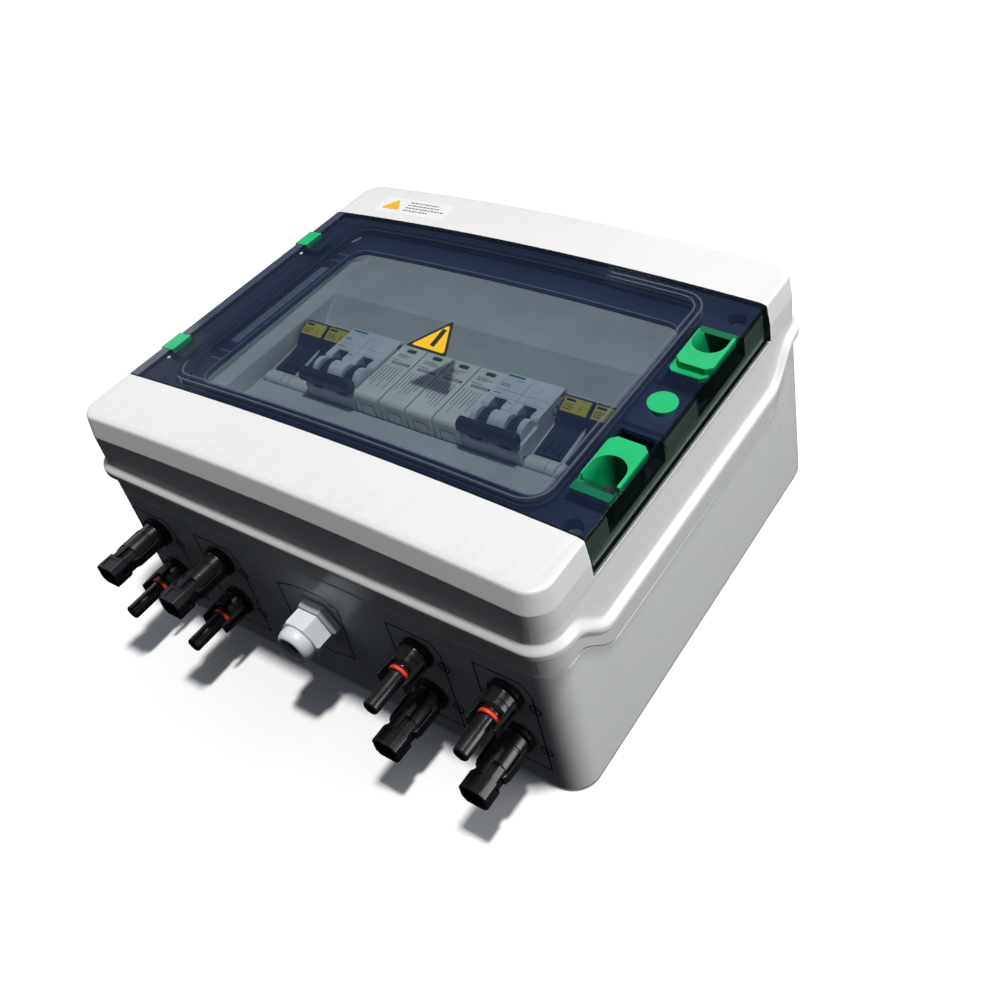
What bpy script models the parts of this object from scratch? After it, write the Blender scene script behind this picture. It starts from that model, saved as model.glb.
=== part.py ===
"""A wall-mounted DC combiner box for solar strings, lying on its back.

X runs to the right of the box, Y up along the wall and Z out of the wall. The origin is the
centre of the back face. Sizes are written in millimetres, and the helpers make them metres.
"""

import math

import bmesh
import bpy
from mathutils import Matrix, Vector

MM = 0.001
GAP = 0.3

# Case: a tub and a cover that meet on a stepped seam
HALF_WIDTH, HALF_HEIGHT, CORNER = 147.0, 124.3, 14.0
WALL, FLOOR = 2.8, 3.0
SEAM_SIDE, SEAM_END = 66.8, 86.0
STEP_START, STEP_STOP = 80.0, 106.0
RIB_RISE = 15.5
SEAM_GAP = 0.6
FRONT, CROWN = 137.3, 5.2
BAND = 124.4
BOW_LOW, BOW_HIGH = 112.0, 128.0
BOW_STEPS = 10

# Door, its recess in the cover, and its hinge
DOOR_LEFT, DOOR_RIGHT, DOOR_HALF, DOOR_THICK = -145.3, 146.1, 86.0, 2.8
DOOR_BACK = FRONT - DOOR_THICK
LAND, LAND_THICK = 130.0, 2.5
FLAP_END = 117.0
BEAD_LEFT, BEAD_RIGHT, BEAD_HALF, BEAD_CORNER = -121.5, 119.5, 80.5, 14.0
HINGE_X, HINGE_Z = -143.3, 134.2
CLIP_LOW, CLIP_HIGH = 48.0, 62.0

# Latches and the cap between them
LATCH_X = 134.5
WINDOW_LOW, WINDOW_HIGH = 22.5, 57.0
CAP_X, CAP_RADIUS = 135.1, 7.4

# Device row: twelve 18 mm modules behind a 45 mm slot
MODULE, DEVICE_GAP = 18.0, 0.4
ROW_Y = -11.3
RAIL_TOP = 60.0
DEVICE_BACK, SHOULDER = 54.0, 100.5
DEVICE_LOW, DEVICE_HIGH = -54.0, 32.0
FRONT_LOW, FRONT_HIGH = -33.8, 11.3
SLOT_HALF, SLOT_LOW, SLOT_HIGH, SLOT_Z = 108.8, -34.5, 12.0, 104.0
TOGGLE_Y, TOGGLE_Z = -20.0, 108.0
CARRIER_Y, CARRIER_Z = -24.0, 104.0

# Cable entries on the lower wall
GROUPS = (-118.0, -68.0, 66.0, 117.0)
ENTRY_HIGH, ENTRY_LOW = 64.0, 33.0
GLAND_Z = 53.0
SHANK = 5.9

COVER_SCREWS = ((-120.0, -72.0), (-120.0, 72.0), (134.0, -78.0), (134.0, 78.0))
WALL_HOLES = ((-128.0, -103.0), (-128.0, 103.0), (128.0, -103.0), (128.0, 103.0))

for old in list(bpy.data.objects):
    bpy.data.objects.remove(old, do_unlink=True)
parts = bpy.data.collections.new("dc_combiner_box")
cutters = bpy.data.collections.new("cutters")
cutters.hide_render = True
for made in (parts, cutters):
    bpy.context.scene.collection.children.link(made)


def material(name, colour, roughness, metallic=0.0, alpha=1.0):
    made = bpy.data.materials.new(name)
    made.use_nodes = True
    shader = made.node_tree.nodes["Principled BSDF"]
    shader.inputs["Base Color"].default_value = (*colour, 1.0)
    shader.inputs["Roughness"].default_value = roughness
    shader.inputs["Metallic"].default_value = metallic
    shader.inputs["Alpha"].default_value = alpha
    return made


PALE = material("pale_plastic", (0.80, 0.81, 0.80), 0.4)
GREY = material("grey_plastic", (0.50, 0.52, 0.52), 0.35)
TINT = material("tinted_cover", (0.03, 0.05, 0.10), 0.1, alpha=0.5)
GREEN = material("green_plastic", (0.01, 0.55, 0.20), 0.3)
BLACK = material("black_plastic", (0.01, 0.01, 0.012), 0.4)
DEVICE = material("device_plastic", (0.62, 0.65, 0.67), 0.45)
IVORY = material("ivory_plastic", (0.78, 0.78, 0.74), 0.45)
TOGGLE = material("toggle_plastic", (0.03, 0.04, 0.06), 0.4)
GLAND = material("gland_plastic", (0.75, 0.80, 0.84), 0.4)
RUBBER = material("black_rubber", (0.02, 0.02, 0.02), 0.8)
RED = material("red_rubber", (0.55, 0.05, 0.02), 0.5)
STEEL = material("zinc_steel", (0.60, 0.60, 0.58), 0.35, 1.0)
BRASS = material("brass", (0.60, 0.42, 0.15), 0.35, 1.0)
CERAMIC = material("ceramic", (0.80, 0.78, 0.72), 0.5)


def add(name, mesh, look=None):
    """A part where a material is given, or else a cutter."""
    made = bpy.data.objects.new(name, mesh)
    (parts if look else cutters).objects.link(made)
    if look:
        mesh.materials.append(look)
    else:
        made.hide_render = True
        made.display_type = "WIRE"
    return made


def add_bmesh(name, bm, look=None):
    bmesh.ops.recalc_face_normals(bm, faces=bm.faces)
    bmesh.ops.scale(bm, vec=(MM, MM, MM), verts=bm.verts)
    mesh = bpy.data.meshes.new(name)
    bm.to_mesh(mesh)
    bm.free()
    return add(name, mesh, look)


def box(name, low, high, look=None):
    bm = bmesh.new()
    size = Vector(high) - Vector(low)
    middle = (Vector(high) + Vector(low)) / 2
    bmesh.ops.create_cube(bm, size=1.0, matrix=Matrix.Translation(middle) @ Matrix.Diagonal((*size, 1.0)))
    return add_bmesh(name, bm, look)


def rod(name, start, end, radius, look=None, segments=16, end_radius=None):
    """A cylinder, or a cone where end_radius is given, between two points."""
    start, end = Vector(start), Vector(end)
    turn = (end - start).to_track_quat("Z", "Y").to_matrix().to_4x4()
    bm = bmesh.new()
    bmesh.ops.create_cone(
        bm,
        cap_ends=True,
        segments=segments,
        radius1=radius,
        radius2=radius if end_radius is None else end_radius,
        depth=(end - start).length,
        matrix=Matrix.Translation((start + end) / 2) @ turn,
    )
    return add_bmesh(name, bm, look)


def prism(name, outline, axis, low, high, look=None):
    """An outline pushed along X, Y or Z. Its points are the other two coordinates, in order."""
    place = {
        "X": lambda p, t: (t, p[0], p[1]),
        "Y": lambda p, t: (p[0], t, p[1]),
        "Z": lambda p, t: (p[0], p[1], t),
    }[axis]
    bm = bmesh.new()
    face = bm.faces.new([bm.verts.new(place(p, low)) for p in outline])
    pushed = bmesh.ops.extrude_face_region(bm, geom=[face])["geom"]
    move = Vector(place((0, 0), high)) - Vector(place((0, 0), low))
    bmesh.ops.translate(bm, vec=move, verts=[v for v in pushed if isinstance(v, bmesh.types.BMVert)])
    return add_bmesh(name, bm, look)


def rounded(low_x, high_x, low_y, high_y, radius, steps=5):
    """A rectangle with round corners, as points from its first corner anticlockwise."""
    points = []
    corners = ((high_x, high_y, 0), (low_x, high_y, 90), (low_x, low_y, 180), (high_x, low_y, 270))
    for x, y, start in corners:
        inset_x = radius if x == low_x else -radius
        inset_y = radius if y == low_y else -radius
        for step in range(steps + 1):
            angle = math.radians(start + 90 * step / steps)
            points.append((x + inset_x + radius * math.cos(angle), y + inset_y + radius * math.sin(angle)))
    return points


def loft(name, rings, look=None, capped=True):
    """A skin over outlines of equal length, each given as (points, height)."""
    bm = bmesh.new()
    loops = [[bm.verts.new((x, y, z)) for x, y in points] for points, z in rings]
    for lower, upper in zip(loops, loops[1:]):
        for i, corner in enumerate(lower):
            after = (i + 1) % len(lower)
            bm.faces.new((corner, lower[after], upper[after], upper[i]))
    if capped:
        bm.faces.new(loops[0])
        bm.faces.new(loops[-1])
    return add_bmesh(name, bm, look)


def turned(name, profile, centre, look=None, segments=16):
    """A profile of (radius, distance) turned about a line along -Y, distance counted from centre."""
    mesh = bpy.data.meshes.new(name)
    points = [(r * MM, 0, -s * MM) for r, s in profile]
    mesh.from_pydata(points, [(i, i + 1) for i in range(len(points) - 1)], [])
    made = add(name, mesh, look)
    screw = made.modifiers.new("turn", "SCREW")
    screw.steps = screw.render_steps = segments
    screw.use_merge_vertices = True
    screw.merge_threshold = 0.00001
    made.rotation_euler = (math.radians(-90), 0, 0)
    made.location = Vector(centre) * MM
    return made


def combine(target, other, operation="DIFFERENCE"):
    """Cuts or joins, and leaves the tool among the cutters."""
    if other.name in parts.objects:
        parts.objects.unlink(other)
        cutters.objects.link(other)
        other.hide_render = True
        other.display_type = "WIRE"
    step = target.modifiers.new(other.name, "BOOLEAN")
    step.object = other
    step.operation = operation
    return target


def settle(target):
    """Makes the object's modifiers and its place part of its mesh."""
    bpy.context.view_layer.update()
    evaluated = target.evaluated_get(bpy.context.evaluated_depsgraph_get())
    mesh = bpy.data.meshes.new_from_object(evaluated)
    mesh.transform(target.matrix_world)
    target.modifiers.clear()
    target.data = mesh
    target.matrix_world = Matrix.Identity(4)
    return target


def bow_at(x, z=FRONT):
    """How far the bulged front stands out at x, fading out down the walls."""
    fade = min(max((z - BOW_LOW) / (BOW_HIGH - BOW_LOW), 0.0), 1.0)
    return CROWN * (1 - (x / HALF_WIDTH) ** 2) * fade * fade * (3 - 2 * fade)


def bow(target):
    """Bends a piece to the bulged front."""
    settle(target)
    bm = bmesh.new()
    bm.from_mesh(target.data)
    for step in range(1, BOW_STEPS):
        x = HALF_WIDTH * (2 * step / BOW_STEPS - 1) * MM
        geometry = bm.verts[:] + bm.edges[:] + bm.faces[:]
        bmesh.ops.bisect_plane(bm, geom=geometry, dist=1e-6, plane_co=(x, 0, 0), plane_no=(1, 0, 0))
    bmesh.ops.triangulate(bm, faces=bm.faces)
    for vert in bm.verts:
        vert.co.z += bow_at(vert.co.x / MM, vert.co.z / MM) * MM
    bm.to_mesh(target.data)
    bm.free()
    return target


def pivot(target, x, y, z):
    """Puts the object's origin on its joint."""
    settle(target)
    place = Vector((x, y, z)) * MM
    target.data.transform(Matrix.Translation(-place))
    target.location = place
    return target


def rise(y):
    """0 along the sides of the case and 1 at its ends, with a smooth step between."""
    part = min(max((abs(y) - STEP_START) / (STEP_STOP - STEP_START), 0.0), 1.0)
    return part * part * (3 - 2 * part)


def seam_profile(offset, far):
    """The stepped seam in the Y-Z plane, closed on the line z = far."""
    steps = 6
    span = STEP_STOP - STEP_START
    run = [STEP_START + span * i / steps for i in range(steps + 1)]
    ys = [-140.0] + [-y for y in reversed(run)] + run + [140.0]
    line = [(y, SEAM_SIDE + (SEAM_END - SEAM_SIDE) * rise(y) + offset) for y in ys]
    return line + [(140.0, far), (-140.0, far)]


def make_base():
    base = loft(
        "base_shell",
        [
            (rounded(-HALF_WIDTH + 2, HALF_WIDTH - 2, -HALF_HEIGHT + 2, HALF_HEIGHT - 2, CORNER - 2), 0.0),
            (rounded(-HALF_WIDTH, HALF_WIDTH, -HALF_HEIGHT, HALF_HEIGHT, CORNER), 2.0),
            (rounded(-HALF_WIDTH, HALF_WIDTH, -HALF_HEIGHT, HALF_HEIGHT, CORNER), 92.0),
        ],
        GREY,
    )
    inner_x, inner_y = HALF_WIDTH - WALL, HALF_HEIGHT - WALL
    hollow = rounded(-inner_x, inner_x, -inner_y, inner_y, CORNER - WALL)
    combine(base, prism("base_hollow", hollow, "Z", FLOOR, 100.0))
    for i, (x, y) in enumerate(COVER_SCREWS):
        combine(base, rod(f"base_post_{i}", (x, y, 1), (x, y, 58), 5.5, segments=12), "UNION")
        combine(base, rod(f"base_post_hole_{i}", (x, y, 38), (x, y, 60), 2.4, segments=10))
    combine(base, prism("base_top", seam_profile(-SEAM_GAP / 2, 110.0), "X", -150, 150))
    for i, x in enumerate(GROUPS):
        for z in (ENTRY_LOW, ENTRY_HIGH):
            combine(base, rod(f"entry_{i}_{z:.0f}", (x, -130, z), (x, -115, z), SHANK + GAP, segments=16))
    combine(base, rod("gland_entry", (0, -130, GLAND_Z), (0, -115, GLAND_Z), 8.3, segments=16))
    for i, (x, y) in enumerate(WALL_HOLES):
        combine(base, rod(f"wall_hole_{i}", (x, y, -2), (x, y, 6), 2.6, segments=12))


def rib_path():
    """The bright rib round the cover: low on the sides, stepping up to the ends."""
    points = []
    outline = rounded(-HALF_WIDTH, HALF_WIDTH, -HALF_HEIGHT, HALF_HEIGHT, CORNER, 6)
    for (x0, y0), (x1, y1) in zip(outline, outline[1:] + outline[:1]):
        points.append((x0, y0))
        if abs(x0 - x1) < 1 and abs(y0 - y1) > 100:
            points += [(x0, math.copysign(y, y0)) for y in (102, 98, 94, 90, 86, 82)]
            points += [(x0, -math.copysign(y, y0)) for y in (82, 86, 90, 94, 98, 102)]
    return [(x, y, SEAM_SIDE + (SEAM_END - SEAM_SIDE) * rise(y * 0.97) + RIB_RISE) for x, y in points]


def make_rib():
    curve = bpy.data.curves.new("cover_rib", "CURVE")
    curve.dimensions = "3D"
    curve.bevel_depth = 4.0 * MM
    curve.bevel_resolution = 1
    spline = curve.splines.new("POLY")
    path = rib_path()
    spline.points.add(len(path) - 1)
    for point, (x, y, z) in zip(spline.points, path):
        inward = Vector((x, y, 0)).normalized()
        point.co = (*((Vector((x, y, z)) - inward) * MM), 1)
    spline.use_cyclic_u = True
    guide = bpy.data.objects.new("cover_rib_guide", curve)
    cutters.objects.link(guide)
    bpy.context.view_layer.update()
    mesh = bpy.data.meshes.new_from_object(guide.evaluated_get(bpy.context.evaluated_depsgraph_get()))
    bpy.data.objects.remove(guide)
    bm = bmesh.new()
    bm.from_mesh(mesh)
    bmesh.ops.remove_doubles(bm, verts=bm.verts, dist=1e-6)
    bmesh.ops.recalc_face_normals(bm, faces=bm.faces)
    bm.to_mesh(mesh)
    bm.free()
    return add("cover_rib", mesh)


def make_cover():
    def ring(grow_x, grow_y, radius, z):
        half_x, half_y = HALF_WIDTH + grow_x, HALF_HEIGHT + grow_y
        return rounded(-half_x, half_x, -half_y, half_y, radius, 6), z

    cover = loft(
        "front_cover",
        [
            ring(0, 0, CORNER, 62.0),
            ring(0.3, -0.2, CORNER, 116.0),
            ring(0.4, -0.5, CORNER, BAND),
            ring(-0.7, -2.3, CORNER - 1, FRONT - 1.2),
            ring(-1.8, -3.4, CORNER - 2, FRONT),
        ],
        PALE,
    )
    inner_x, inner_y = HALF_WIDTH - WALL, HALF_HEIGHT - WALL
    skirt = rounded(-inner_x, inner_x, -inner_y, inner_y, CORNER - WALL)
    combine(cover, make_rib(), "UNION")
    combine(cover, prism("cover_skirt_hollow", skirt, "Z", 50.0, 111.5))
    head = rounded(-133, 118.5, -inner_y, inner_y, 8)
    combine(cover, prism("cover_head_hollow", head, "Z", 105.0, LAND - LAND_THICK))
    combine(cover, prism("cover_left_hollow", rounded(-inner_x, 0, -inner_y, inner_y, 8), "Z", 105.0, 124.0))
    for side in (-1, 1):
        low, high = sorted((side * 90.0, side * 118.0))
        strip = rounded(-141, 141, low, high, 6)
        combine(cover, prism(f"cover_strip_{side}", strip, "Z", 120.0, FRONT - WALL))
    for i, (x, y) in enumerate(COVER_SCREWS):
        combine(cover, rod(f"cover_tower_{i}", (x, y, 58.3), (x, y, 128.5), 6.5, segments=12), "UNION")
    combine(cover, prism("cover_below_seam", seam_profile(SEAM_GAP / 2, 30.0), "X", -150, 150))
    combine(cover, box("door_recess", (-155, -DOOR_HALF - 0.9, LAND), (155, DOOR_HALF + 0.9, 150)))
    combine(cover, box("flap_recess", (143.4, -DOOR_HALF - 0.9, 114.3), (155, DOOR_HALF + 0.9, 150)))
    window = rounded(-113, 113, -69, 72, 20, 6)
    combine(cover, prism("cover_window", window, "Z", 110, 150))
    for side in (-1, 1):
        low, high = sorted((side * 16.0, side * 66.0))
        combine(cover, box(f"latch_pocket_{side}", (121.5, low, 119), (150, high, 150)))
        low, high = sorted((side * (CLIP_LOW - 1.5), side * (CLIP_HIGH + 1.5)))
        combine(cover, box(f"hinge_notch_{side}", (-155, low, 128.0), (-138, high, 150)))
    for i, (x, y) in enumerate(COVER_SCREWS):
        combine(cover, rod(f"screw_pocket_{i}", (x, y, 121), (x, y, 140), 5.0, segments=14))
        combine(cover, rod(f"screw_bore_{i}", (x, y, 50), (x, y, 130), 2.4, segments=10))
    for side in (-1, 1):
        for near, far in ((CLIP_LOW + GAP, 51.5), (58.5, CLIP_HIGH - GAP)):
            name = f"hinge_lug_{side}_{near:.0f}"
            combine(cover, knuckle(name, side, near, far, 1.6, -50, 9.0), "UNION")
        combine(cover, hinge_rod(f"hinge_bore_{side}", side, 46.0, 64.0, 1.15))
    return bow(cover)


def knuckle(name, side, near, far, radius, heading, length):
    """A round-ended arm on the hinge line, pointing along a heading in the X-Z plane."""
    arc = [math.radians(heading + 90 + 180 * i / 6) for i in range(7)]
    outline = [(HINGE_X + radius * math.cos(a), HINGE_Z + radius * math.sin(a)) for a in arc]
    run = Vector((math.cos(math.radians(heading)), math.sin(math.radians(heading)))) * length
    first, last = outline[0], outline[-1]
    outline += [(last[0] + run.x, last[1] + run.y), (first[0] + run.x, first[1] + run.y)]
    low, high = sorted((side * near, side * far))
    return prism(name, outline, "Y", low, high)


def hinge_rod(name, side, near, far, radius, look=None, lift=0.0):
    start = (HINGE_X, side * near, HINGE_Z + lift)
    return rod(name, start, (HINGE_X, side * far, HINGE_Z + lift), radius, look, segments=12)


def frame_ring(name, inset, width, low_z, high_z, look=None):
    """A flat frame that follows the door's bead, inset from its outer line."""
    def outline(grow):
        radius = BEAD_CORNER - grow
        return rounded(BEAD_LEFT + grow, BEAD_RIGHT - grow, -BEAD_HALF + grow, BEAD_HALF - grow, radius)

    frame = prism(name, outline(inset), "Z", low_z, high_z, look)
    return combine(frame, prism(name + "_inside", outline(inset + width), "Z", low_z - 1, high_z + 1))


def latch_window(name, side, grow=0.0):
    """The octagonal-ended opening over a latch, in the door."""
    chamfer = 4.0
    low, high = WINDOW_LOW - grow, WINDOW_HIGH + grow
    left, right = 123.5 - grow, 145.1 + grow
    outline = [(left, low + chamfer), (left + chamfer, low), (right - chamfer, low), (right, low + chamfer)]
    outline += [(right, high), (left, high)]
    return prism(name, [(x, side * y) for x, y in outline], "Z", 132.0, 145.0)


def make_door():
    profile = [
        (DOOR_LEFT, DOOR_BACK),
        (DOOR_LEFT, FRONT - 0.6),
        (DOOR_LEFT + 0.6, FRONT),
        (DOOR_RIGHT - 1.0, FRONT),
        (DOOR_RIGHT, FRONT - 1.0),
        (147.3, FLAP_END + 2.0),
        (147.0, FLAP_END),
        (144.8, FLAP_END),
        (143.8, DOOR_BACK),
    ]
    door = prism("door", profile, "Y", -DOOR_HALF, DOOR_HALF, TINT)
    for i, inset in enumerate((0.0, 4.4)):
        combine(door, frame_ring(f"door_rib_{i}", inset, 1.2, 132.5, DOOR_BACK + 0.5), "UNION")
    for side in (-1, 1):
        combine(door, latch_window(f"latch_window_{side}", side))
        low, high = sorted((side * (CLIP_LOW - GAP), side * (CLIP_HIGH + GAP)))
        combine(door, box(f"clip_notch_{side}", (-150, low, 130), (-136.6, high, 140)))
    combine(door, rod("cap_hole", (CAP_X, 0, 130), (CAP_X, 0, 140), 6.2, segments=16))
    bow(door)
    seal = frame_ring("door_seal", 1.5, 2.6, 130.6, 134.2, RUBBER)
    bow(seal)
    cap = rod("lock_cap", (CAP_X, 0, 137.6), (CAP_X, 0, 138.5), CAP_RADIUS, GREEN, segments=24)
    combine(cap, rod("lock_cap_stem", (CAP_X, 0, 130), (CAP_X, 0, 138.0), 5.9, segments=16), "UNION")
    bow(cap)
    hinged = [door, seal, cap] + [make_clip(side) for side in (-1, 1)]
    for piece in hinged:
        pivot(piece, HINGE_X, 0, HINGE_Z + bow_at(HINGE_X))
    for side, name in ((-1, "hinge_pin_lower"), (1, "hinge_pin_upper")):
        hinge_rod(name, side, CLIP_LOW + 0.5, CLIP_HIGH - 0.5, 0.85, STEEL, bow_at(HINGE_X))


def make_clip(side):
    profile = [
        (-146.5, 136.1),
        (-146.9, 136.8),
        (-146.4, 137.4),
        (-136.9, 137.4),
        (-136.9, DOOR_BACK - 0.4),
        (-133.0, DOOR_BACK - 0.4),
        (-133.0, 132.9),
        (-139.0, 132.9),
        (-139.0, 136.1),
    ]
    low, high = sorted((side * CLIP_LOW, side * CLIP_HIGH))
    name = "hinge_clip_upper" if side > 0 else "hinge_clip_lower"
    clip = prism(name, profile, "Y", low, high, GREEN)
    combine(clip, knuckle(f"clip_knuckle_{side}", side, 51.8, 58.2, 1.75, 90, 2.4), "UNION")
    combine(clip, hinge_rod(f"clip_bore_{side}", side, 46, 64, 1.15))
    return bow(clip)


def make_latch(side):
    def oblong(x_low, x_high, near, far, low_z, high_z, chamfer, name, look=None):
        points = [
            (x_low, near + chamfer),
            (x_low + chamfer, near),
            (x_high - chamfer, near),
            (x_high, near + chamfer),
            (x_high, far),
            (x_low, far),
        ]
        return prism(name, [(x, side * y) for x, y in points], "Z", low_z, high_z, look)

    name = "latch_upper" if side > 0 else "latch_lower"
    latch = oblong(122.6, 142.8, 25, 62, 131.2, DOOR_BACK - 0.4, 3, name, GREEN)
    combine(latch, oblong(124.6, 144.4, 29, 56, 133.4, 138.6, 4, name + "_slab"), "UNION")
    combine(latch, oblong(125.5, 142.6, 34, 60, 120.5, 132.0, 2, name + "_body"), "UNION")
    scoop_y = side * 48.5
    scoop = rod(name + "_scoop", (LATCH_X, scoop_y, 124.0), (LATCH_X, scoop_y, 140.0), 4.2, None, 16, 9.2)
    combine(latch, scoop)
    bow(latch)
    return pivot(latch, LATCH_X, side * (WINDOW_LOW + WINDOW_HIGH) / 2, DOOR_BACK)


def make_surround():
    """The sunk panel round the device row, from the cover's window down to the slot."""
    rim = LAND - LAND_THICK - 0.4
    rings = [
        (rounded(-115.5, 115.5, -71.5, 74.5, 22, 6), rim),
        (rounded(-111.5, 111.5, -67.5, 70.5, 20, 6), rim),
        (rounded(-109.6, 109.6, -37, 40, 6, 6), 105.5),
        (rounded(-SLOT_HALF, SLOT_HALF, SLOT_LOW, SLOT_HIGH, 1.5, 6), SLOT_Z),
    ]
    surround = loft("device_surround", rings, DEVICE, capped=False)
    if surround.data.polygons[0].normal.z < 0:
        surround.data.flip_normals()
    shell = surround.modifiers.new("thickness", "SOLIDIFY")
    shell.thickness = 2.0 * MM
    shell.offset = -1
    bow(surround)


def make_gasket():
    curve = bpy.data.curves.new("cover_gasket", "CURVE")
    curve.dimensions = "3D"
    curve.bevel_depth = 1.4 * MM
    curve.bevel_resolution = 0
    inner_x, inner_y = HALF_WIDTH - WALL - 1.8, HALF_HEIGHT - WALL - 1.8
    outline = rounded(-inner_x, inner_x, -inner_y, inner_y, CORNER - WALL - 1.8, 4)
    path = []
    for (x0, y0), (x1, y1) in zip(outline, outline[1:] + outline[:1]):
        path.append((x0, y0))
        if abs(x0 - x1) < 1 and abs(y0 - y1) > 100:
            path += [(x0, math.copysign(y, y0)) for y in (104, 98, 93, 88, 82)]
            path += [(x0, -math.copysign(y, y0)) for y in (82, 88, 93, 98, 104)]
    spline = curve.splines.new("POLY")
    spline.points.add(len(path) - 1)
    for point, (x, y) in zip(spline.points, path):
        point.co = (x * MM, y * MM, (SEAM_SIDE + (SEAM_END - SEAM_SIDE) * rise(y)) * MM, 1)
    spline.use_cyclic_u = True
    curve.materials.append(RUBBER)
    parts.objects.link(bpy.data.objects.new("cover_gasket", curve))


def make_screws():
    for i, (x, y) in enumerate(COVER_SCREWS, 1):
        screw = rod(f"cover_screw_{i}", (x, y, 40), (x, y, 122.5), 2.0, STEEL, segments=10)
        combine(screw, rod(f"screw_head_{i}", (x, y, 121.3), (x, y, 124.6), 4.3, segments=16), "UNION")
        for turn, size in (("a", (3.0, 0.6)), ("b", (0.6, 3.0))):
            low, high = (x - size[0], y - size[1], 123.2), (x + size[0], y + size[1], 126)
            combine(screw, box(f"screw_slot_{i}{turn}", low, high))
        bow(screw)


def make_rail():
    half, leg, thick, depth = 17.5, 13.5, 1.0, 7.5
    top, bottom = RAIL_TOP, RAIL_TOP - depth
    hat = [
        (-half, top - thick),
        (-leg, top - thick),
        (-leg, bottom),
        (leg, bottom),
        (leg, top - thick),
        (half, top - thick),
        (half, top),
        (leg - thick, top),
        (leg - thick, bottom + thick),
        (-leg + thick, bottom + thick),
        (-leg + thick, top),
        (-half, top),
    ]
    prism("din_rail", [(ROW_Y + y, z) for y, z in hat], "X", -112, 112, STEEL)
    for side, name in ((-1, "rail_bracket_left"), (1, "rail_bracket_right")):
        x = side * 100
        foot, head = FLOOR + GAP, bottom - GAP
        z_shape = [
            (x - 12 * side, foot),
            (x + 2 * side, foot),
            (x + 2 * side, head - 2),
            (x + 9 * side, head - 2),
            (x + 9 * side, head),
            (x, head),
            (x, foot + 2),
            (x - 12 * side, foot + 2),
        ]
        prism(name, z_shape, "Y", ROW_Y - 13, ROW_Y + 13, STEEL)


def device_outline(front):
    """A DIN device from the side: its back grips the rail, and front lists its front, top to bottom."""
    grip = 17.9
    return [
        (ROW_Y + grip, RAIL_TOP + 0.4),
        (ROW_Y + grip, DEVICE_BACK),
        (DEVICE_HIGH, DEVICE_BACK),
        (DEVICE_HIGH, SHOULDER - 3),
        (DEVICE_HIGH - 2, SHOULDER),
        *front,
        (DEVICE_LOW + 2, SHOULDER),
        (DEVICE_LOW, SHOULDER - 3),
        (DEVICE_LOW, DEVICE_BACK),
        (ROW_Y - grip, DEVICE_BACK),
        (ROW_Y - grip, RAIL_TOP + 0.4),
    ]


def device(name, x, modules, front, look):
    half = modules * MODULE / 2 - DEVICE_GAP / 2
    return prism(name, device_outline(front), "X", x - half, x + half, look)


def make_breaker(index, x):
    front = [
        (FRONT_HIGH, SHOULDER),
        (FRONT_HIGH, 118.2),
        (FRONT_HIGH - 0.8, 119.0),
        (-13.7, 119.0),
        (-14.6, 117.6),
        (-32.8, 116.0),
        (FRONT_LOW, 115.0),
        (FRONT_LOW, SHOULDER),
    ]
    body = device(f"breaker_{index}", x, 2, front, DEVICE)
    for side in (-1, 1):
        pole = x + side * MODULE / 2
        combine(body, box(f"toggle_slot_{index}{side}", (pole - 3.4, -33.0, 100.8), (pole + 3.4, -8.0, 125)))
    reach = 18.4
    tip_y, tip_z = TOGGLE_Y - reach * math.sin(math.pi / 4), TOGGLE_Z + reach * math.cos(math.pi / 4)
    toggle = rod(f"breaker_toggle_{index}", (x - 18, tip_y, tip_z), (x + 18, tip_y, tip_z), 2.6, TOGGLE, 12)
    for side in (-1, 1):
        pole = x + side * MODULE / 2
        stem = [
            (TOGGLE_Y - 1.6 - 1.6, TOGGLE_Z - 1.6 + 1.6),
            (TOGGLE_Y + 1.6 + 1.6, TOGGLE_Z + 1.6 - 1.6),
            (tip_y + 1.6, tip_z + 1.4),
            (tip_y - 1.4, tip_z - 1.6),
        ]
        combine(toggle, prism(f"toggle_stem_{index}{side}", stem, "X", pole - 2.9, pole + 2.9), "UNION")
        start, end = (pole - 2.95, TOGGLE_Y, TOGGLE_Z), (pole + 2.95, TOGGLE_Y, TOGGLE_Z)
        combine(toggle, rod(f"toggle_drum_{index}{side}", start, end, 6.0, segments=16), "UNION")
    pivot(toggle, x, TOGGLE_Y, TOGGLE_Z)


def make_surge_base(index, x):
    front = [(8.7, SHOULDER), (8.7, 75.6), (-30.7, 75.6), (-30.7, SHOULDER)]
    device(f"surge_base_{index}", x, 2, front, GREY)


def make_surge_cartridge(index, x):
    outline = [
        (FRONT_LOW, 101.5),
        (FRONT_LOW, 114.6),
        (-31.6, 116.9),
        (9.5, 117.0),
        (FRONT_HIGH, 115.2),
        (FRONT_HIGH, 101.5),
        (8.3, 101.5),
        (8.3, 76.0),
        (-30.3, 76.0),
        (-30.3, 101.5),
    ]
    half = MODULE / 2 - DEVICE_GAP
    cartridge = prism(f"surge_cartridge_{index}", outline, "X", x - half, x + half, IVORY)
    pivot(cartridge, x, ROW_Y, 76.0)


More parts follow.
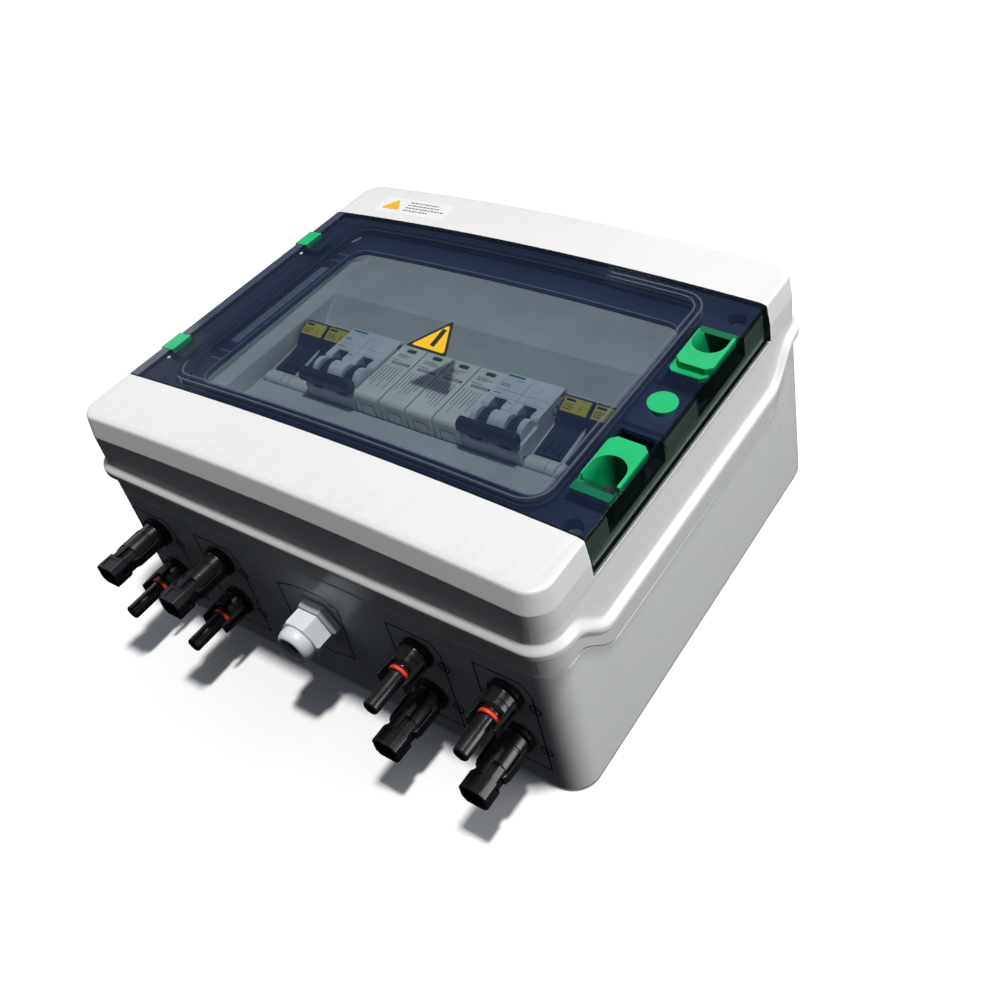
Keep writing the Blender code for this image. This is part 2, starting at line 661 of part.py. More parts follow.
def make_fuse_way(index, x):
    front = [
        (-24.9, SHOULDER),
        (-24.9, 105.0),
        (-26.2, 106.4),
        (-29.4, 106.8),
        (-32.2, 105.8),
        (FRONT_LOW, 103.6),
        (FRONT_LOW, SHOULDER),
    ]
    base = device(f"fuse_base_{index}", x, 1, front, DEVICE)
    combine(base, box(f"fuse_well_{index}", (x - 6.8, -31.0, 88.5), (x + 6.8, 12.6, 103.2)))
    handle = [
        (-23.6, 101.3),
        (-23.6, 105.2),
        (-12.0, 106.2),
        (-5.0, 108.4),
        (0.0, 113.4),
        (8.6, 117.0),
        (10.8, 115.4),
        (10.8, 101.3),
    ]
    half = MODULE / 2 - DEVICE_GAP
    carrier = prism(f"fuse_carrier_{index}", handle, "X", x - half, x + half, TOGGLE)
    blade = [(-30.3, 91.0), (8.0, 91.0), (8.0, 102.0), (-22.5, 102.6), (-30.3, 102.6)]
    combine(carrier, prism(f"carrier_blade_{index}", blade, "X", x - 6.5, x + 6.5), "UNION")
    combine(carrier, box(f"carrier_channel_{index}", (x - 5.45, -32, 90), (x + 5.45, 12, 101.7)))
    pivot(carrier, x, CARRIER_Y, CARRIER_Z)
    link = rod(f"fuse_link_{index}", (x, -29.8, 96.3), (x, 7.6, 96.3), 5.1, CERAMIC, segments=16)
    pivot(link, x, CARRIER_Y, CARRIER_Z)


def make_socket(name, x, z):
    """A panel connector whose wide housing takes the mating plug's nose."""
    profile = [(0, -12), (SHANK, -12), (SHANK, 0.3), (9.5, 0.3), (9.5, 3.6), (7.2, 4.4), (7.2, 21), (0, 21)]
    body = turned(name, profile, (x, -HALF_HEIGHT, z), BLACK)
    wall = -HALF_HEIGHT
    housing = rounded(x - 7.4, x + 7.4, z - 6.4, z + 6.4, 2.5, 2)
    combine(body, prism(name + "_housing", housing, "Y", wall - 37, wall - 18), "UNION")
    for side in (-1, 1):
        middle = x + side * 7.8
        ear = box(f"{name}_ear_{side}", (middle - 1.3, wall - 30, z - 3.2), (middle + 1.3, wall - 8, z + 3.2))
        combine(body, ear, "UNION")
    combine(body, rod(name + "_mouth", (x, wall - 22, z), (x, wall - 40, z), 4.8, segments=16))


def make_plug(name, ring_name, x, z):
    """A panel connector whose narrow nose goes into the mating socket, with its sealing ring."""
    wall = -HALF_HEIGHT
    profile = [
        (0, -12),
        (SHANK, -12),
        (SHANK, 0.3),
        (9.3, 0.3),
        (9.3, 3.6),
        (7.6, 4.4),
        (7.6, 13.6),
        (3.5, 13.6),
        (3.5, 15.8),
        (4.1, 15.8),
        (4.1, 35.4),
        (3.5, 36.0),
        (0, 36.0),
    ]
    body = turned(name, profile, (x, wall, z), BLACK, 14)
    for side in (-1, 1):
        middle = x + side * 7.6
        ear = box(f"{name}_ear_{side}", (middle - 1.2, wall - 13, z - 3), (middle + 1.2, wall - 4, z + 3))
        combine(body, ear, "UNION")
    combine(body, rod(name + "_bore", (x, wall - 24, z), (x, wall - 40, z), 2.1, segments=12))
    bpy.ops.mesh.primitive_torus_add(
        major_segments=16,
        minor_segments=6,
        major_radius=4.65 * MM,
        minor_radius=0.8 * MM,
        location=(x * MM, (wall - 14.7) * MM, z * MM),
        rotation=(math.pi / 2, 0, 0),
    )
    ring = bpy.context.object
    ring.name = ring_name
    ring.data.materials.append(RED)
    for owner in list(ring.users_collection):
        owner.objects.unlink(ring)
    parts.objects.link(ring)


def make_gland():
    wall = (0, -HALF_HEIGHT, GLAND_Z)
    hollow = [(6.4, -14), (7.9, -14), (7.9, 0.3), (10.5, 0.3), (10.5, 5.8), (7.9, 5.8), (7.9, 12), (6.4, 12)]
    body = turned("gland_body", hollow + [hollow[0]], wall, GLAND, 24)
    y = -HALF_HEIGHT
    collar = rod("gland_collar", (0, y - 0.3, GLAND_Z), (0, y - 5.8, GLAND_Z), 13.6, segments=6)
    combine(collar, rod("gland_collar_bore", (0, y, GLAND_Z), (0, y - 7, GLAND_Z), 7.2, segments=24))
    combine(body, collar, "UNION")
    cap = [(8.3, 6.2), (12.2, 6.2), (12.2, 14.5), (11.2, 16.5), (10.4, 21.8), (9.2, 23.2), (7.0, 23.2)]
    cap += [(7.0, 19.6), (8.3, 19.6), (8.3, 6.2)]
    turned("gland_cap", cap, wall, GLAND, 20)
    seal = [(5.6, 12.4), (7.9, 12.4), (7.9, 19.2), (5.6, 19.2), (5.6, 12.4)]
    turned("gland_seal", seal, wall, RUBBER, 20)
    nut = rod("gland_locknut", (0, y + 3.1, GLAND_Z), (0, y + 7.6, GLAND_Z), 13.2, GLAND, 6)
    combine(nut, rod("locknut_bore", (0, y, GLAND_Z), (0, y + 12, GLAND_Z), 8.2, segments=20))


def make_earth_bar():
    bar = box("earth_bar", (-40, 62, FLOOR + GAP), (40, 71, FLOOR + GAP + 10), BRASS)
    for i in range(6):
        x = -32 + 12.8 * i
        combine(bar, rod(f"earth_hole_{i}", (x, 66.5, 6), (x, 66.5, 16), 2.4, segments=10))


make_base()
make_cover()
make_gasket()
make_surround()
make_screws()
make_rail()
make_door()
for latch_side in (-1, 1):
    make_latch(latch_side)

for number, place in enumerate((-99.0, -81.0, 81.0, 99.0), 1):
    make_fuse_way(number, place)
for number, place in enumerate((-54.0, 54.0), 1):
    make_breaker(number, place)
for number, place in enumerate((-18.0, 18.0), 1):
    make_surge_base(number, place)
for number, place in enumerate((-27.0, -9.0, 9.0, 27.0), 1):
    make_surge_cartridge(number, place)

for number, place in enumerate(GROUPS, 1):
    socket_z, plug_z = (ENTRY_HIGH, ENTRY_LOW) if number < 3 else (ENTRY_LOW, ENTRY_HIGH)
    make_socket(f"string_socket_{number}", place, socket_z)
    make_plug(f"string_plug_{number}", f"plug_ring_{number}", place, plug_z)
make_gland()
make_earth_bar()
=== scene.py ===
"""The looks of a DC combiner box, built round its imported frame.

Every length is in millimetres, and the helpers turn it into metres. X runs to the right of the
box, Y up the wall and Z out of the wall.
"""

import math
import random

import bmesh
import bpy
from mathutils import Matrix, Vector


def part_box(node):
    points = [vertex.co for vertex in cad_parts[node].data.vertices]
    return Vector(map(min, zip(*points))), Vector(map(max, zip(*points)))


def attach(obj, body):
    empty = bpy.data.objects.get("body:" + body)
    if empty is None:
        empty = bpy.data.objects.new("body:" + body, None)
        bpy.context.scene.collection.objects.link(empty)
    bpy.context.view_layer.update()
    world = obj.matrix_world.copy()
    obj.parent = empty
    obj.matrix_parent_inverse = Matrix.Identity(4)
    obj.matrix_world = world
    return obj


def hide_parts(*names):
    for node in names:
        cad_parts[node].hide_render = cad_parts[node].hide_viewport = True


MM = 0.001
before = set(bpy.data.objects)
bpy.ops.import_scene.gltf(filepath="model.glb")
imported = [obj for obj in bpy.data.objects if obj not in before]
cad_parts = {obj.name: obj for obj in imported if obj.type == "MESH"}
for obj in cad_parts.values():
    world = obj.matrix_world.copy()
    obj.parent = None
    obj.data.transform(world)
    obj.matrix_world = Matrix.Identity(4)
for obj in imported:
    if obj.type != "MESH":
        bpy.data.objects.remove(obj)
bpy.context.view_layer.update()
scene = bpy.context.scene


def ends(node):
    """The lowest and highest corner of a node, in millimetres."""
    low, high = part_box(node)
    return low / MM, high / MM


def middle(node):
    low, high = ends(node)
    return (low + high) / 2


def mirrored(side, near, far):
    """A span away from the middle, on the side of -1 or 1, as its lower and higher end."""
    return sorted((side * near, side * far))


base_low, base_high = ends("base_shell")
cover_low, cover_high = ends("front_cover")
door_low, door_high = ends("door")

# Case
HALF_WIDTH, HALF_HEIGHT = base_high.x, base_high.y
CORNER, WALL, FLOOR, GAP = 14.0, 2.8, 3.0, 0.3
SEAM_SIDE, SEAM_END = cover_low.z - GAP, base_high.z + GAP
STEP_START, STEP_STOP = 80.0, 106.0
RIB_RISE, RIB_PROUD, RIB_FLAT, RIB_FADE = 15.5, 3.1, 1.2, 4.6
CROWN = 5.2
FRONT = cover_high.z - CROWN
BAND = FRONT - 12.9
BOW_LOW, BOW_HIGH, BOW_STEPS, NEARLY_FLAT = 112.0, 128.0, 34, 0.985
CORNER_STEPS, SIDE_STEPS, END_STEPS = 12, 84, 34

# Door and what lies under it
DOOR_HALF, DOOR_THICK = door_high.y, 2.8
DOOR_BACK = FRONT - DOOR_THICK
DOOR_LEFT, DOOR_RIGHT = door_low.x, door_high.x - 1.2
LAND, LAND_THICK, FLAP_END = 130.0, 2.5, door_low.z
LAND_PLATE = (-121.5, 118.2, -77.0, 79.6)
seal_low, seal_high = ends("door_seal")
BEAD_CORNER = 14.0
BEAD_LEFT, BEAD_RIGHT, BEAD_HALF = seal_low.x - 1.5, seal_high.x + 1.5, seal_high.y + 1.5
CLIP_LOW, CLIP_HIGH = ends("hinge_clip_upper")[0].y, ends("hinge_clip_upper")[1].y
HINGE_X, HINGE_MARGIN = middle("hinge_pin_upper").x, -138.4
LATCH_X = middle("latch_upper").x + 1.0
WINDOW_LOW, WINDOW_HIGH = 22.5, 57.0
SCOOP_Y, SCOOP_MOUTH, SCOOP_LOW, SCOOP_HIGH = 48.5, 57.6, 123.0, 140.0
SCOOP_FOOT, SCOOP_RIM = 5.6, 9.3
CAP = middle("lock_cap")

# Device row
SLOT_LOW, SLOT_HIGH, SLOT_HALF = -34.5, 12.0, 108.8
FACE_LOW, FACE_HIGH = ends("surge_cartridge_1")[0].y, ends("surge_cartridge_1")[1].y
LIFT, SUNK = 0.06, 0.02
RIGHT, DOWN, UP = (1, 0, 0), (0, -1, 0), (0, 1, 0)

COVER_SCREWS = [middle(f"cover_screw_{i}") for i in range(1, 5)]
WALL_HOLES = [(x, y) for x in (-128.0, 128.0) for y in (-103.0, 103.0)]


# ---- Shapes --------------------------------------------------------------------------------


def keep(name, bm):
    """Turns a shape drawn in millimetres into an object in metres."""
    bmesh.ops.recalc_face_normals(bm, faces=bm.faces)
    bmesh.ops.scale(bm, vec=(MM, MM, MM), verts=bm.verts)
    mesh = bpy.data.meshes.new(name)
    bm.to_mesh(mesh)
    bm.free()
    made = bpy.data.objects.new(name, mesh)
    scene.collection.objects.link(made)
    return made


def round_edges(bm, width, segments=2, angle=25.0):
    if width:
        least = math.radians(angle)
        closed = [e for e in bm.edges if len(e.link_faces) == 2]
        sharp = [e for e in closed if e.calc_face_angle(0) > least]
        bmesh.ops.bevel(
            bm,
            geom=sharp,
            offset=width,
            segments=segments,
            profile=0.5,
            affect="EDGES",
            clamp_overlap=True,
        )


def block(name, low, high, edge=0.0):
    bm = bmesh.new()
    size = Vector(high) - Vector(low)
    centre = (Vector(high) + Vector(low)) / 2
    bmesh.ops.create_cube(
        bm, size=1.0, matrix=Matrix.Translation(centre) @ Matrix.Diagonal((*size, 1.0))
    )
    round_edges(bm, edge)
    return keep(name, bm)


def spar(name, x, half_x, low_y, high_y, z, half_z, edge=0.0):
    """A block along Y, given by its middle and half its size in X and Z."""
    return block(name, (x - half_x, low_y, z - half_z), (x + half_x, high_y, z + half_z), edge)


def rod(name, start, end, radius, segments=32, end_radius=None, edge=0.0):
    """A cylinder, or a cone where end_radius is given, between two points."""
    start, end = Vector(start), Vector(end)
    turn = (end - start).to_track_quat("Z", "Y").to_matrix().to_4x4()
    bm = bmesh.new()
    bmesh.ops.create_cone(
        bm,
        cap_ends=True,
        segments=segments,
        radius1=radius,
        radius2=radius if end_radius is None else end_radius,
        depth=(end - start).length,
        matrix=Matrix.Translation((start + end) / 2) @ turn,
    )
    round_edges(bm, edge, angle=40.0)
    return keep(name, bm)


def push(bm, corners, move):
    """Adds a face and extrudes it by a vector."""
    face = bm.faces.new([bm.verts.new(corner) for corner in corners])
    pushed = bmesh.ops.extrude_face_region(bm, geom=[face])["geom"]
    moved = [v for v in pushed if isinstance(v, bmesh.types.BMVert)]
    bmesh.ops.translate(bm, vec=move, verts=moved)


def prism(name, outline, axis, low, high, edge=0.0, segments=2, angle=25.0):
    """An outline pushed along X, Y or Z. Its points are the other two coordinates, in order."""
    place = {
        "X": lambda p, t: (t, p[0], p[1]),
        "Y": lambda p, t: (p[0], t, p[1]),
        "Z": lambda p, t: (p[0], p[1], t),
    }[axis]
    bm = bmesh.new()
    move = Vector(place((0, 0), high)) - Vector(place((0, 0), low))
    push(bm, [place(p, low) for p in outline], move)
    bmesh.ops.recalc_face_normals(bm, faces=bm.faces)
    round_edges(bm, edge, segments, angle)
    return keep(name, bm)


def arc(x, y, radius, start, stop, steps):
    angles = [math.radians(start + (stop - start) * i / steps) for i in range(steps + 1)]
    return [(x + radius * math.cos(a), y + radius * math.sin(a)) for a in angles]


def rounded(low_x, high_x, low_y, high_y, radius, steps=8):
    """A rectangle with round corners, anticlockwise."""
    corners = (
        (high_x - radius, high_y - radius),
        (low_x + radius, high_y - radius),
        (low_x + radius, low_y + radius),
        (high_x - radius, low_y + radius),
    )
    return [
        p for i, (x, y) in enumerate(corners) for p in arc(x, y, radius, 90 * i, 90 * i + 90, steps)
    ]


def loft(name, rings, capped=True):
    """A skin over rings of equal length, each a list of 3-D points."""
    bm = bmesh.new()
    loops = [[bm.verts.new(p) for p in ring] for ring in rings]
    for lower, upper in zip(loops, loops[1:]):
        for i, corner in enumerate(lower):
            after = (i + 1) % len(lower)
            bm.faces.new((corner, lower[after], upper[after], upper[i]))
    if capped:
        bm.faces.new(loops[0])
        bm.faces.new(loops[-1])
    return keep(name, bm)


def lathe(name, profile, centre, segments=48, closed=False, facets=None):
    """A profile of (radius, distance) turned about a line along -Y. A closed profile makes a ring.

    With facets, points of at least facets[1] radius lie on a polygon of facets[0] sides.
    """
    x, y, z = centre

    def ring(radius, distance):
        points = []
        for i in range(segments):
            angle = 2 * math.pi * i / segments
            reach = radius
            if facets and radius >= facets[1]:
                side = 2 * math.pi / facets[0]
                reach = radius * math.cos(side / 2) / math.cos(angle % side - side / 2)
            points.append((x + reach * math.cos(angle), y - distance, z + reach * math.sin(angle)))
        return points

    rings = [ring(max(r, 0.001), s) for r, s in profile]
    if closed:
        rings.append(rings[0])
    made = loft(name, rings, capped=not closed)
    bm = bmesh.new()
    bm.from_mesh(made.data)
    bmesh.ops.remove_doubles(bm, verts=bm.verts, dist=0.004 * MM)
    bmesh.ops.recalc_face_normals(bm, faces=bm.faces)
    bm.to_mesh(made.data)
    bm.free()
    return made


def combine(target, tool, operation):
    """A Boolean with a tool that is removed when the target is settled."""
    step = target.modifiers.new(tool.name, "BOOLEAN")
    step.object = tool
    step.operation = operation
    return target


def cut(target, tool):
    return combine(target, tool, "DIFFERENCE")


def add(target, tool):
    return combine(target, tool, "UNION")


def settle(target):
    """Makes the object's modifiers part of its mesh, and removes their tools."""
    tools = [m.object for m in target.modifiers if m.type == "BOOLEAN"]
    for tool in tools:
        if any(m.type == "BOOLEAN" for m in tool.modifiers):
            settle(tool)
    bpy.context.view_layer.update()
    evaluated = target.evaluated_get(bpy.context.evaluated_depsgraph_get())
    mesh = bpy.data.meshes.new_from_object(evaluated)
    target.modifiers.clear()
    target.data = mesh
    for tool in tools:
        bpy.data.objects.remove(tool)
    return target


def bow_at(x, z=200.0):
    """How far the bulged front stands out at x, fading out down the walls."""
    fade = min(max((z - BOW_LOW) / (BOW_HIGH - BOW_LOW), 0.0), 1.0)
    return CROWN * (1 - (x / HALF_WIDTH) ** 2) * fade * fade * (3 - 2 * fade)


bowed = set()


def bow(target, steps=BOW_STEPS, extra=()):
    """Bends a piece to the bulged front. Its faces are also cut at each extra x."""
    settle(target)
    bm = bmesh.new()
    bm.from_mesh(target.data)
    cuts = [HALF_WIDTH * (2 * step / steps - 1) for step in range(1, steps)]
    for x in [cut * MM for cut in (*cuts, *extra)]:
        geometry = bm.verts[:] + bm.edges[:] + bm.faces[:]
        bmesh.ops.bisect_plane(bm, geom=geometry, dist=1e-6, plane_co=(x, 0, 0), plane_no=(1, 0, 0))
    for vert in bm.verts:
        vert.co.z += bow_at(vert.co.x / MM, vert.co.z / MM) * MM
    bm.to_mesh(target.data)
    bm.free()
    bowed.add(target.name)
    return target


def polish(target, angle=32.0):
    """Smooth shading, sharp where faces meet at more than the angle. A bowed front stays flat."""
    settle(target)
    target.data.shade_smooth()
    if target.name in bowed:
        for polygon in target.data.polygons:
            on_side = abs(polygon.normal.z) < NEARLY_FLAT
            polygon.use_smooth = on_side or polygon.center.z < BOW_HIGH * MM
    target.data.set_sharp_from_angle(angle=math.radians(angle))
    even = target.modifiers.new("even_normals", "WEIGHTED_NORMAL")
    even.keep_sharp = True
    return settle(target)


def place(target, look, body="enclosure", nodes=(), slot=None):
    """Gives a piece its finish and body, and hides the nodes that it stands for."""
    polish(target)
    if None in list(target.data.materials):
        target.data.materials.clear()
    if not target.data.materials:
        target.data.materials.append(look)
    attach(target, body)
    if nodes:
        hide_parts(*nodes)
    return target


def several_looks(target, looks, chosen):
    """Several finishes on one piece: chosen numbers a face's finish, by its centre and normal."""
    target.data.materials.clear()
    for look in looks:
        target.data.materials.append(look)
    for polygon in target.data.polygons:
        polygon.material_index = int(chosen(polygon.center / MM, polygon.normal))
    return target


# ---- Finishes ------------------------------------------------------------------------------


def node(tree, kind, **inputs):
    made = tree.nodes.new(kind)
    for name, value in inputs.items():
        made.inputs[name.replace("_", " ")].default_value = value
    return made


def noise(tree, scale, detail=3.0, stretch=(1.0, 1.0, 1.0)):
    """A noise over the piece in metres, stretched along its axes."""
    coordinates = tree.nodes.new("ShaderNodeTexCoord")
    mapping = node(tree, "ShaderNodeMapping", Scale=stretch)
    pattern = node(tree, "ShaderNodeTexNoise", Scale=scale, Detail=detail, Roughness=0.55)
    tree.links.new(coordinates.outputs["Object"], mapping.inputs["Vector"])
    tree.links.new(mapping.outputs["Vector"], pattern.inputs["Vector"])
    return pattern.outputs["Fac"]


def spread(tree, value, low, high, out_low=0.0, out_high=1.0):
    made = node(
        tree, "ShaderNodeMapRange", From_Min=low, From_Max=high, To_Min=out_low, To_Max=out_high
    )
    tree.links.new(value, made.inputs["Value"])
    return made.outputs["Result"]


def blend(tree, share, first, second):
    """A mix of two colours, each a colour or the output of a node."""
    made = tree.nodes.new("ShaderNodeMix")
    made.data_type = "RGBA"
    for socket, colour in ((made.inputs["A"], first), (made.inputs["B"], second)):
        if isinstance(colour, tuple):
            socket.default_value = (*colour, 1.0)
        else:
            tree.links.new(colour, socket)
    if isinstance(share, float):
        made.inputs["Factor"].default_value = share
    else:
        tree.links.new(share, made.inputs["Factor"])
    return made.outputs["Result"]


def lighter(colour, by):
    return tuple(min(c * by, 1.0) for c in colour)


def mottled(tree, pattern, colour, darkest, lightest):
    """A colour that wanders between two of its own shades."""
    return blend(tree, pattern, lighter(colour, darkest), lighter(colour, lightest))


def coat(tree, shader, colour, roughness):
    tree.links.new(colour, shader.inputs["Base Color"])
    tree.links.new(roughness, shader.inputs["Roughness"])


def product(tree, first, second):
    made = tree.nodes.new("ShaderNodeMath")
    made.operation = "MULTIPLY"
    tree.links.new(first, made.inputs[0])
    tree.links.new(second, made.inputs[1])
    return made.outputs[0]


def bumps(tree, shader, height, distance, strength=1.0):
    made = node(tree, "ShaderNodeBump", Strength=strength, Distance=distance)
    tree.links.new(height, made.inputs["Height"])
    tree.links.new(made.outputs["Normal"], shader.inputs["Normal"])


def edge_wear(tree):
    """1 on outer edges, where handling polishes a moulding, and 0 elsewhere."""
    geometry = tree.nodes.new("ShaderNodeNewGeometry")
    return spread(tree, geometry.outputs["Pointiness"], 0.52, 0.62)


def start(name):
    made = bpy.data.materials.new(name)
    made.use_nodes = True
    return made, made.node_tree, made.node_tree.nodes["Principled BSDF"]


def moulded(name, colour, roughness, mottle=0.05, grain=0.00003, dust=0.08, lift=0.0, handled=0.06):
    """Injection-moulded plastic: flow marks, a fine grain, worn edges and a little dust on top.

    With lift, a face at either end is lit as though it leaned further towards +Z.
    """
    made, tree, shader = start(name)
    flow = noise(tree, 22.0, 4.0, (1.0, 0.35, 1.0))
    base = mottled(tree, spread(tree, flow, 0.35, 0.65), colour, 1 - mottle, 1 + mottle)
    worn = blend(tree, edge_wear(tree), base, lighter(colour, 1.18))
    geometry = tree.nodes.new("ShaderNodeNewGeometry")
    facing = node(tree, "ShaderNodeSeparateXYZ")
    tree.links.new(geometry.outputs["Normal"], facing.inputs[0])
    specks = spread(tree, noise(tree, 900.0, 2.0), 0.62, 0.8, 0.0, dust)
    settled = product(tree, specks, spread(tree, facing.outputs["Z"], 0.2, 1.0))
    sheen = spread(tree, noise(tree, 70.0, 5.0), 0.3, 0.7, roughness - handled, roughness + handled)
    coat(tree, shader, blend(tree, settled, worn, (0.45, 0.44, 0.41)), sheen)
    bumps(tree, shader, noise(tree, 2600.0, 2.0), grain, 0.7)
    if lift:
        towards_end = product(tree, facing.outputs["Y"], facing.outputs["Y"])
        lean = tree.nodes.new("ShaderNodeCombineXYZ")
        tree.links.new(spread(tree, towards_end, 0.0, 1.0, 0.0, lift), lean.inputs["Z"])
        leaning = tree.nodes.new("ShaderNodeVectorMath")
        tree.links.new(lean.outputs[0], leaning.inputs[1])
        tree.links.new(geometry.outputs["Normal"], leaning.inputs[0])
        unit = tree.nodes.new("ShaderNodeVectorMath")
        unit.operation = "NORMALIZE"
        tree.links.new(leaning.outputs[0], unit.inputs[0])
        bump = next(n for n in tree.nodes if n.type == "BUMP")
        tree.links.new(unit.outputs[0], bump.inputs["Normal"])
    return made


def rubber(name, colour, roughness=0.75):
    made, tree, shader = start(name)
    bloom = spread(tree, noise(tree, 300.0, 4.0), 0.35, 0.75)
    dulled = spread(tree, bloom, 0.0, 1.0, roughness - 0.1, roughness + 0.1)
    coat(tree, shader, blend(tree, bloom, colour, lighter(colour, 1.9)), dulled)
    bumps(tree, shader, noise(tree, 1800.0, 3.0), 0.00008)
    return made


def metal(name, colour, roughness):
    """Plated metal with rolling marks and a patchy passivation."""
    made, tree, shader = start(name)
    patches = spread(tree, noise(tree, 120.0, 4.0), 0.35, 0.65)
    brushed = noise(tree, 500.0, 3.0, (0.06, 1.0, 1.0))
    streaks = spread(tree, brushed, 0.3, 0.7, roughness - 0.08, roughness + 0.1)
    coat(tree, shader, mottled(tree, patches, colour, 0.85, 1.1), streaks)
    bumps(tree, shader, brushed, 0.00003, 0.6)
    shader.inputs["Metallic"].default_value = 1.0
    return made


def printed(name, colour, roughness=0.5):
    """Ink or label stock with a slightly uneven coat."""
    made, tree, shader = start(name)
    film = spread(tree, noise(tree, 1500.0, 3.0), 0.35, 0.7)
    gloss = spread(tree, film, 0.0, 1.0, roughness - 0.06, roughness + 0.06)
    coat(tree, shader, mottled(tree, film, colour, 0.88, 1.08), gloss)
    bumps(tree, shader, noise(tree, 4000.0, 2.0), 0.00001)
    return made


def smoked(name, tint, body, share):
    """Clear smoked plastic: most light goes through tinted, the rest meets a glossy dark face."""
    made, tree, shader = start(name)
    haze = noise(tree, 35.0, 4.0)
    through = tree.nodes.new("ShaderNodeBsdfTransparent")
    tinted = mottled(tree, spread(tree, haze, 0.3, 0.7), tint, 0.97, 1.03)
    tree.links.new(tinted, through.inputs["Color"])
    specks = spread(tree, noise(tree, 1400.0, 1.0), 0.74, 0.78)
    polished = spread(tree, haze, 0.3, 0.7, 0.04, 0.09)
    coat(tree, shader, blend(tree, specks, body, (0.30, 0.31, 0.33)), polished)
    bumps(tree, shader, noise(tree, 60.0, 3.0), 0.00002, 0.5)
    mixed = tree.nodes.new("ShaderNodeMixShader")
    tree.links.new(spread(tree, specks, 0.0, 1.0, share, 0.5), mixed.inputs["Fac"])
    tree.links.new(through.outputs[0], mixed.inputs[1])
    tree.links.new(shader.outputs[0], mixed.inputs[2])
    output = next(n for n in tree.nodes if n.type == "OUTPUT_MATERIAL")
    tree.links.new(mixed.outputs[0], output.inputs["Surface"])
    return made


def hollow(name, light, dark):
    """The inside of a finger hollow, with painted light and shade: light where it faces +X, as if
    lit, and dark in painted shade where it faces -X or up.
    """
    made, tree, shader = start(name)
    shape = tree.nodes.new("ShaderNodeTexCoord")
    facing = tree.nodes.new("ShaderNodeSeparateXYZ")
    tree.links.new(shape.outputs["Normal"], facing.inputs[0])
    cloudy = mottled(tree, spread(tree, noise(tree, 200.0), 0.3, 0.7), light, 0.94, 1.06)
    lit = blend(tree, spread(tree, facing.outputs["X"], 0.1, 0.85), dark, cloudy)
    tree.links.new(lit, shader.inputs["Base Color"])
    shader.inputs["Roughness"].default_value = 0.38
    bumps(tree, shader, noise(tree, 2600.0, 2.0), 0.00001)
    return made


GREY = moulded(
    "case_grey", (0.62, 0.63, 0.63), 0.28, mottle=0.01, grain=0.000003, dust=0.04, handled=0.01
)
PALE = moulded(
    "cover_pale", (0.74, 0.735, 0.73), 0.34, mottle=0.004, grain=0.000004, dust=0.04, handled=0.01
)
PALE_BAND = moulded(
    "cover_band", (0.74, 0.735, 0.73), 0.4, mottle=0.004, grain=0.000004, dust=0.0, lift=0.42
)
# Dark navy under the door: the recess's own dark colour with painted shade on top, also laid on
# pale cover faces there.
LAND_DARK_AND_SHADE = moulded("recess_dark_and_painted_shade", (0.017, 0.026, 0.063), 0.45, mottle=0.15, dust=0.03)
PANEL = moulded("panel_grey", (0.52, 0.54, 0.54), 0.5, mottle=0.03)
# A lighter navy for the raised tops of the land plate: a painted highlight.
LAND_HIGHLIGHT = moulded("recess_painted_highlight", (0.15, 0.17, 0.23), 0.4, mottle=0.15, dust=0.02)
SMOKE = smoked("smoked_clear", (0.80, 0.835, 0.85), (0.035, 0.055, 0.13), 0.12)
# A deeper tint with a near-black body on the flap: painted shade over what lies behind it.
SMOKE_FLAP_SHADED = smoked("smoked_flap_painted_shade", (0.54, 0.60, 0.56), (0.010, 0.018, 0.015), 0.16)
# Paler, more reflective ribs and bead, used on the near and right sides only: a painted highlight.
SMOKE_RIB_HIGHLIT = smoked("smoked_rib_painted_highlight", (0.70, 0.74, 0.78), (0.16, 0.19, 0.26), 0.42)
SMOKE_HINGE = smoked("smoked_hinge", (0.30, 0.32, 0.36), (0.040, 0.052, 0.095), 0.965)
SMOKE_EDGE = moulded(
    "smoked_edge", (0.006, 0.008, 0.014), 0.12, mottle=0.2, dust=0.0, grain=0.00001
)
GREEN = moulded("latch_green", (0.003, 0.44, 0.145), 0.34, mottle=0.04, dust=0.02)
# The finger scoop: painted light on faces towards +X, painted shade on the rest.
GREEN_HOLLOW_SHADED = hollow("latch_green_hollow_painted_shade", (0.003, 0.36, 0.12), (0.001, 0.012, 0.006))
# Near-black green on the same plastic, for the latch body and the clip's tongue under the door:
# painted shade.
GREEN_SHADED = moulded("latch_green_painted_shade", (0.0015, 0.035, 0.016), 0.45, mottle=0.1, dust=0.0)
DEVICE = moulded("breaker_grey", (0.60, 0.63, 0.67), 0.45, dust=0.03)
IVORY = moulded("surge_ivory", (0.70, 0.71, 0.66), 0.45, dust=0.03)
FUSE_PALE = moulded("fuse_pale", (0.60, 0.61, 0.60), 0.5, dust=0.03)
NAVY = moulded("toggle_navy", (0.018, 0.026, 0.048), 0.4, mottle=0.12, dust=0.02)
BLACK = moulded(
    "connector_black", (0.010, 0.010, 0.012), 0.26, mottle=0.2, dust=0.03, grain=0.00004
)
GLAND = moulded("gland_pale", (0.72, 0.77, 0.80), 0.38, mottle=0.03, dust=0.02)
DOOR_RUBBER = rubber("gasket_rubber", (0.014, 0.015, 0.018))
RED = rubber("ring_red", (0.62, 0.035, 0.012), 0.5)
STEEL = metal("zinc_steel", (0.62, 0.61, 0.58), 0.35)
BRASS = metal("brass", (0.70, 0.49, 0.20), 0.34)
CERAMIC = moulded("fuse_ceramic", (0.78, 0.76, 0.70), 0.35, mottle=0.03)
INK = printed("ink_dark", (0.020, 0.023, 0.030))
INK_BLACK = printed("ink_black", (0.003, 0.003, 0.005), 0.65)
INK_SOFT = printed("ink_soft", (0.13, 0.15, 0.18))
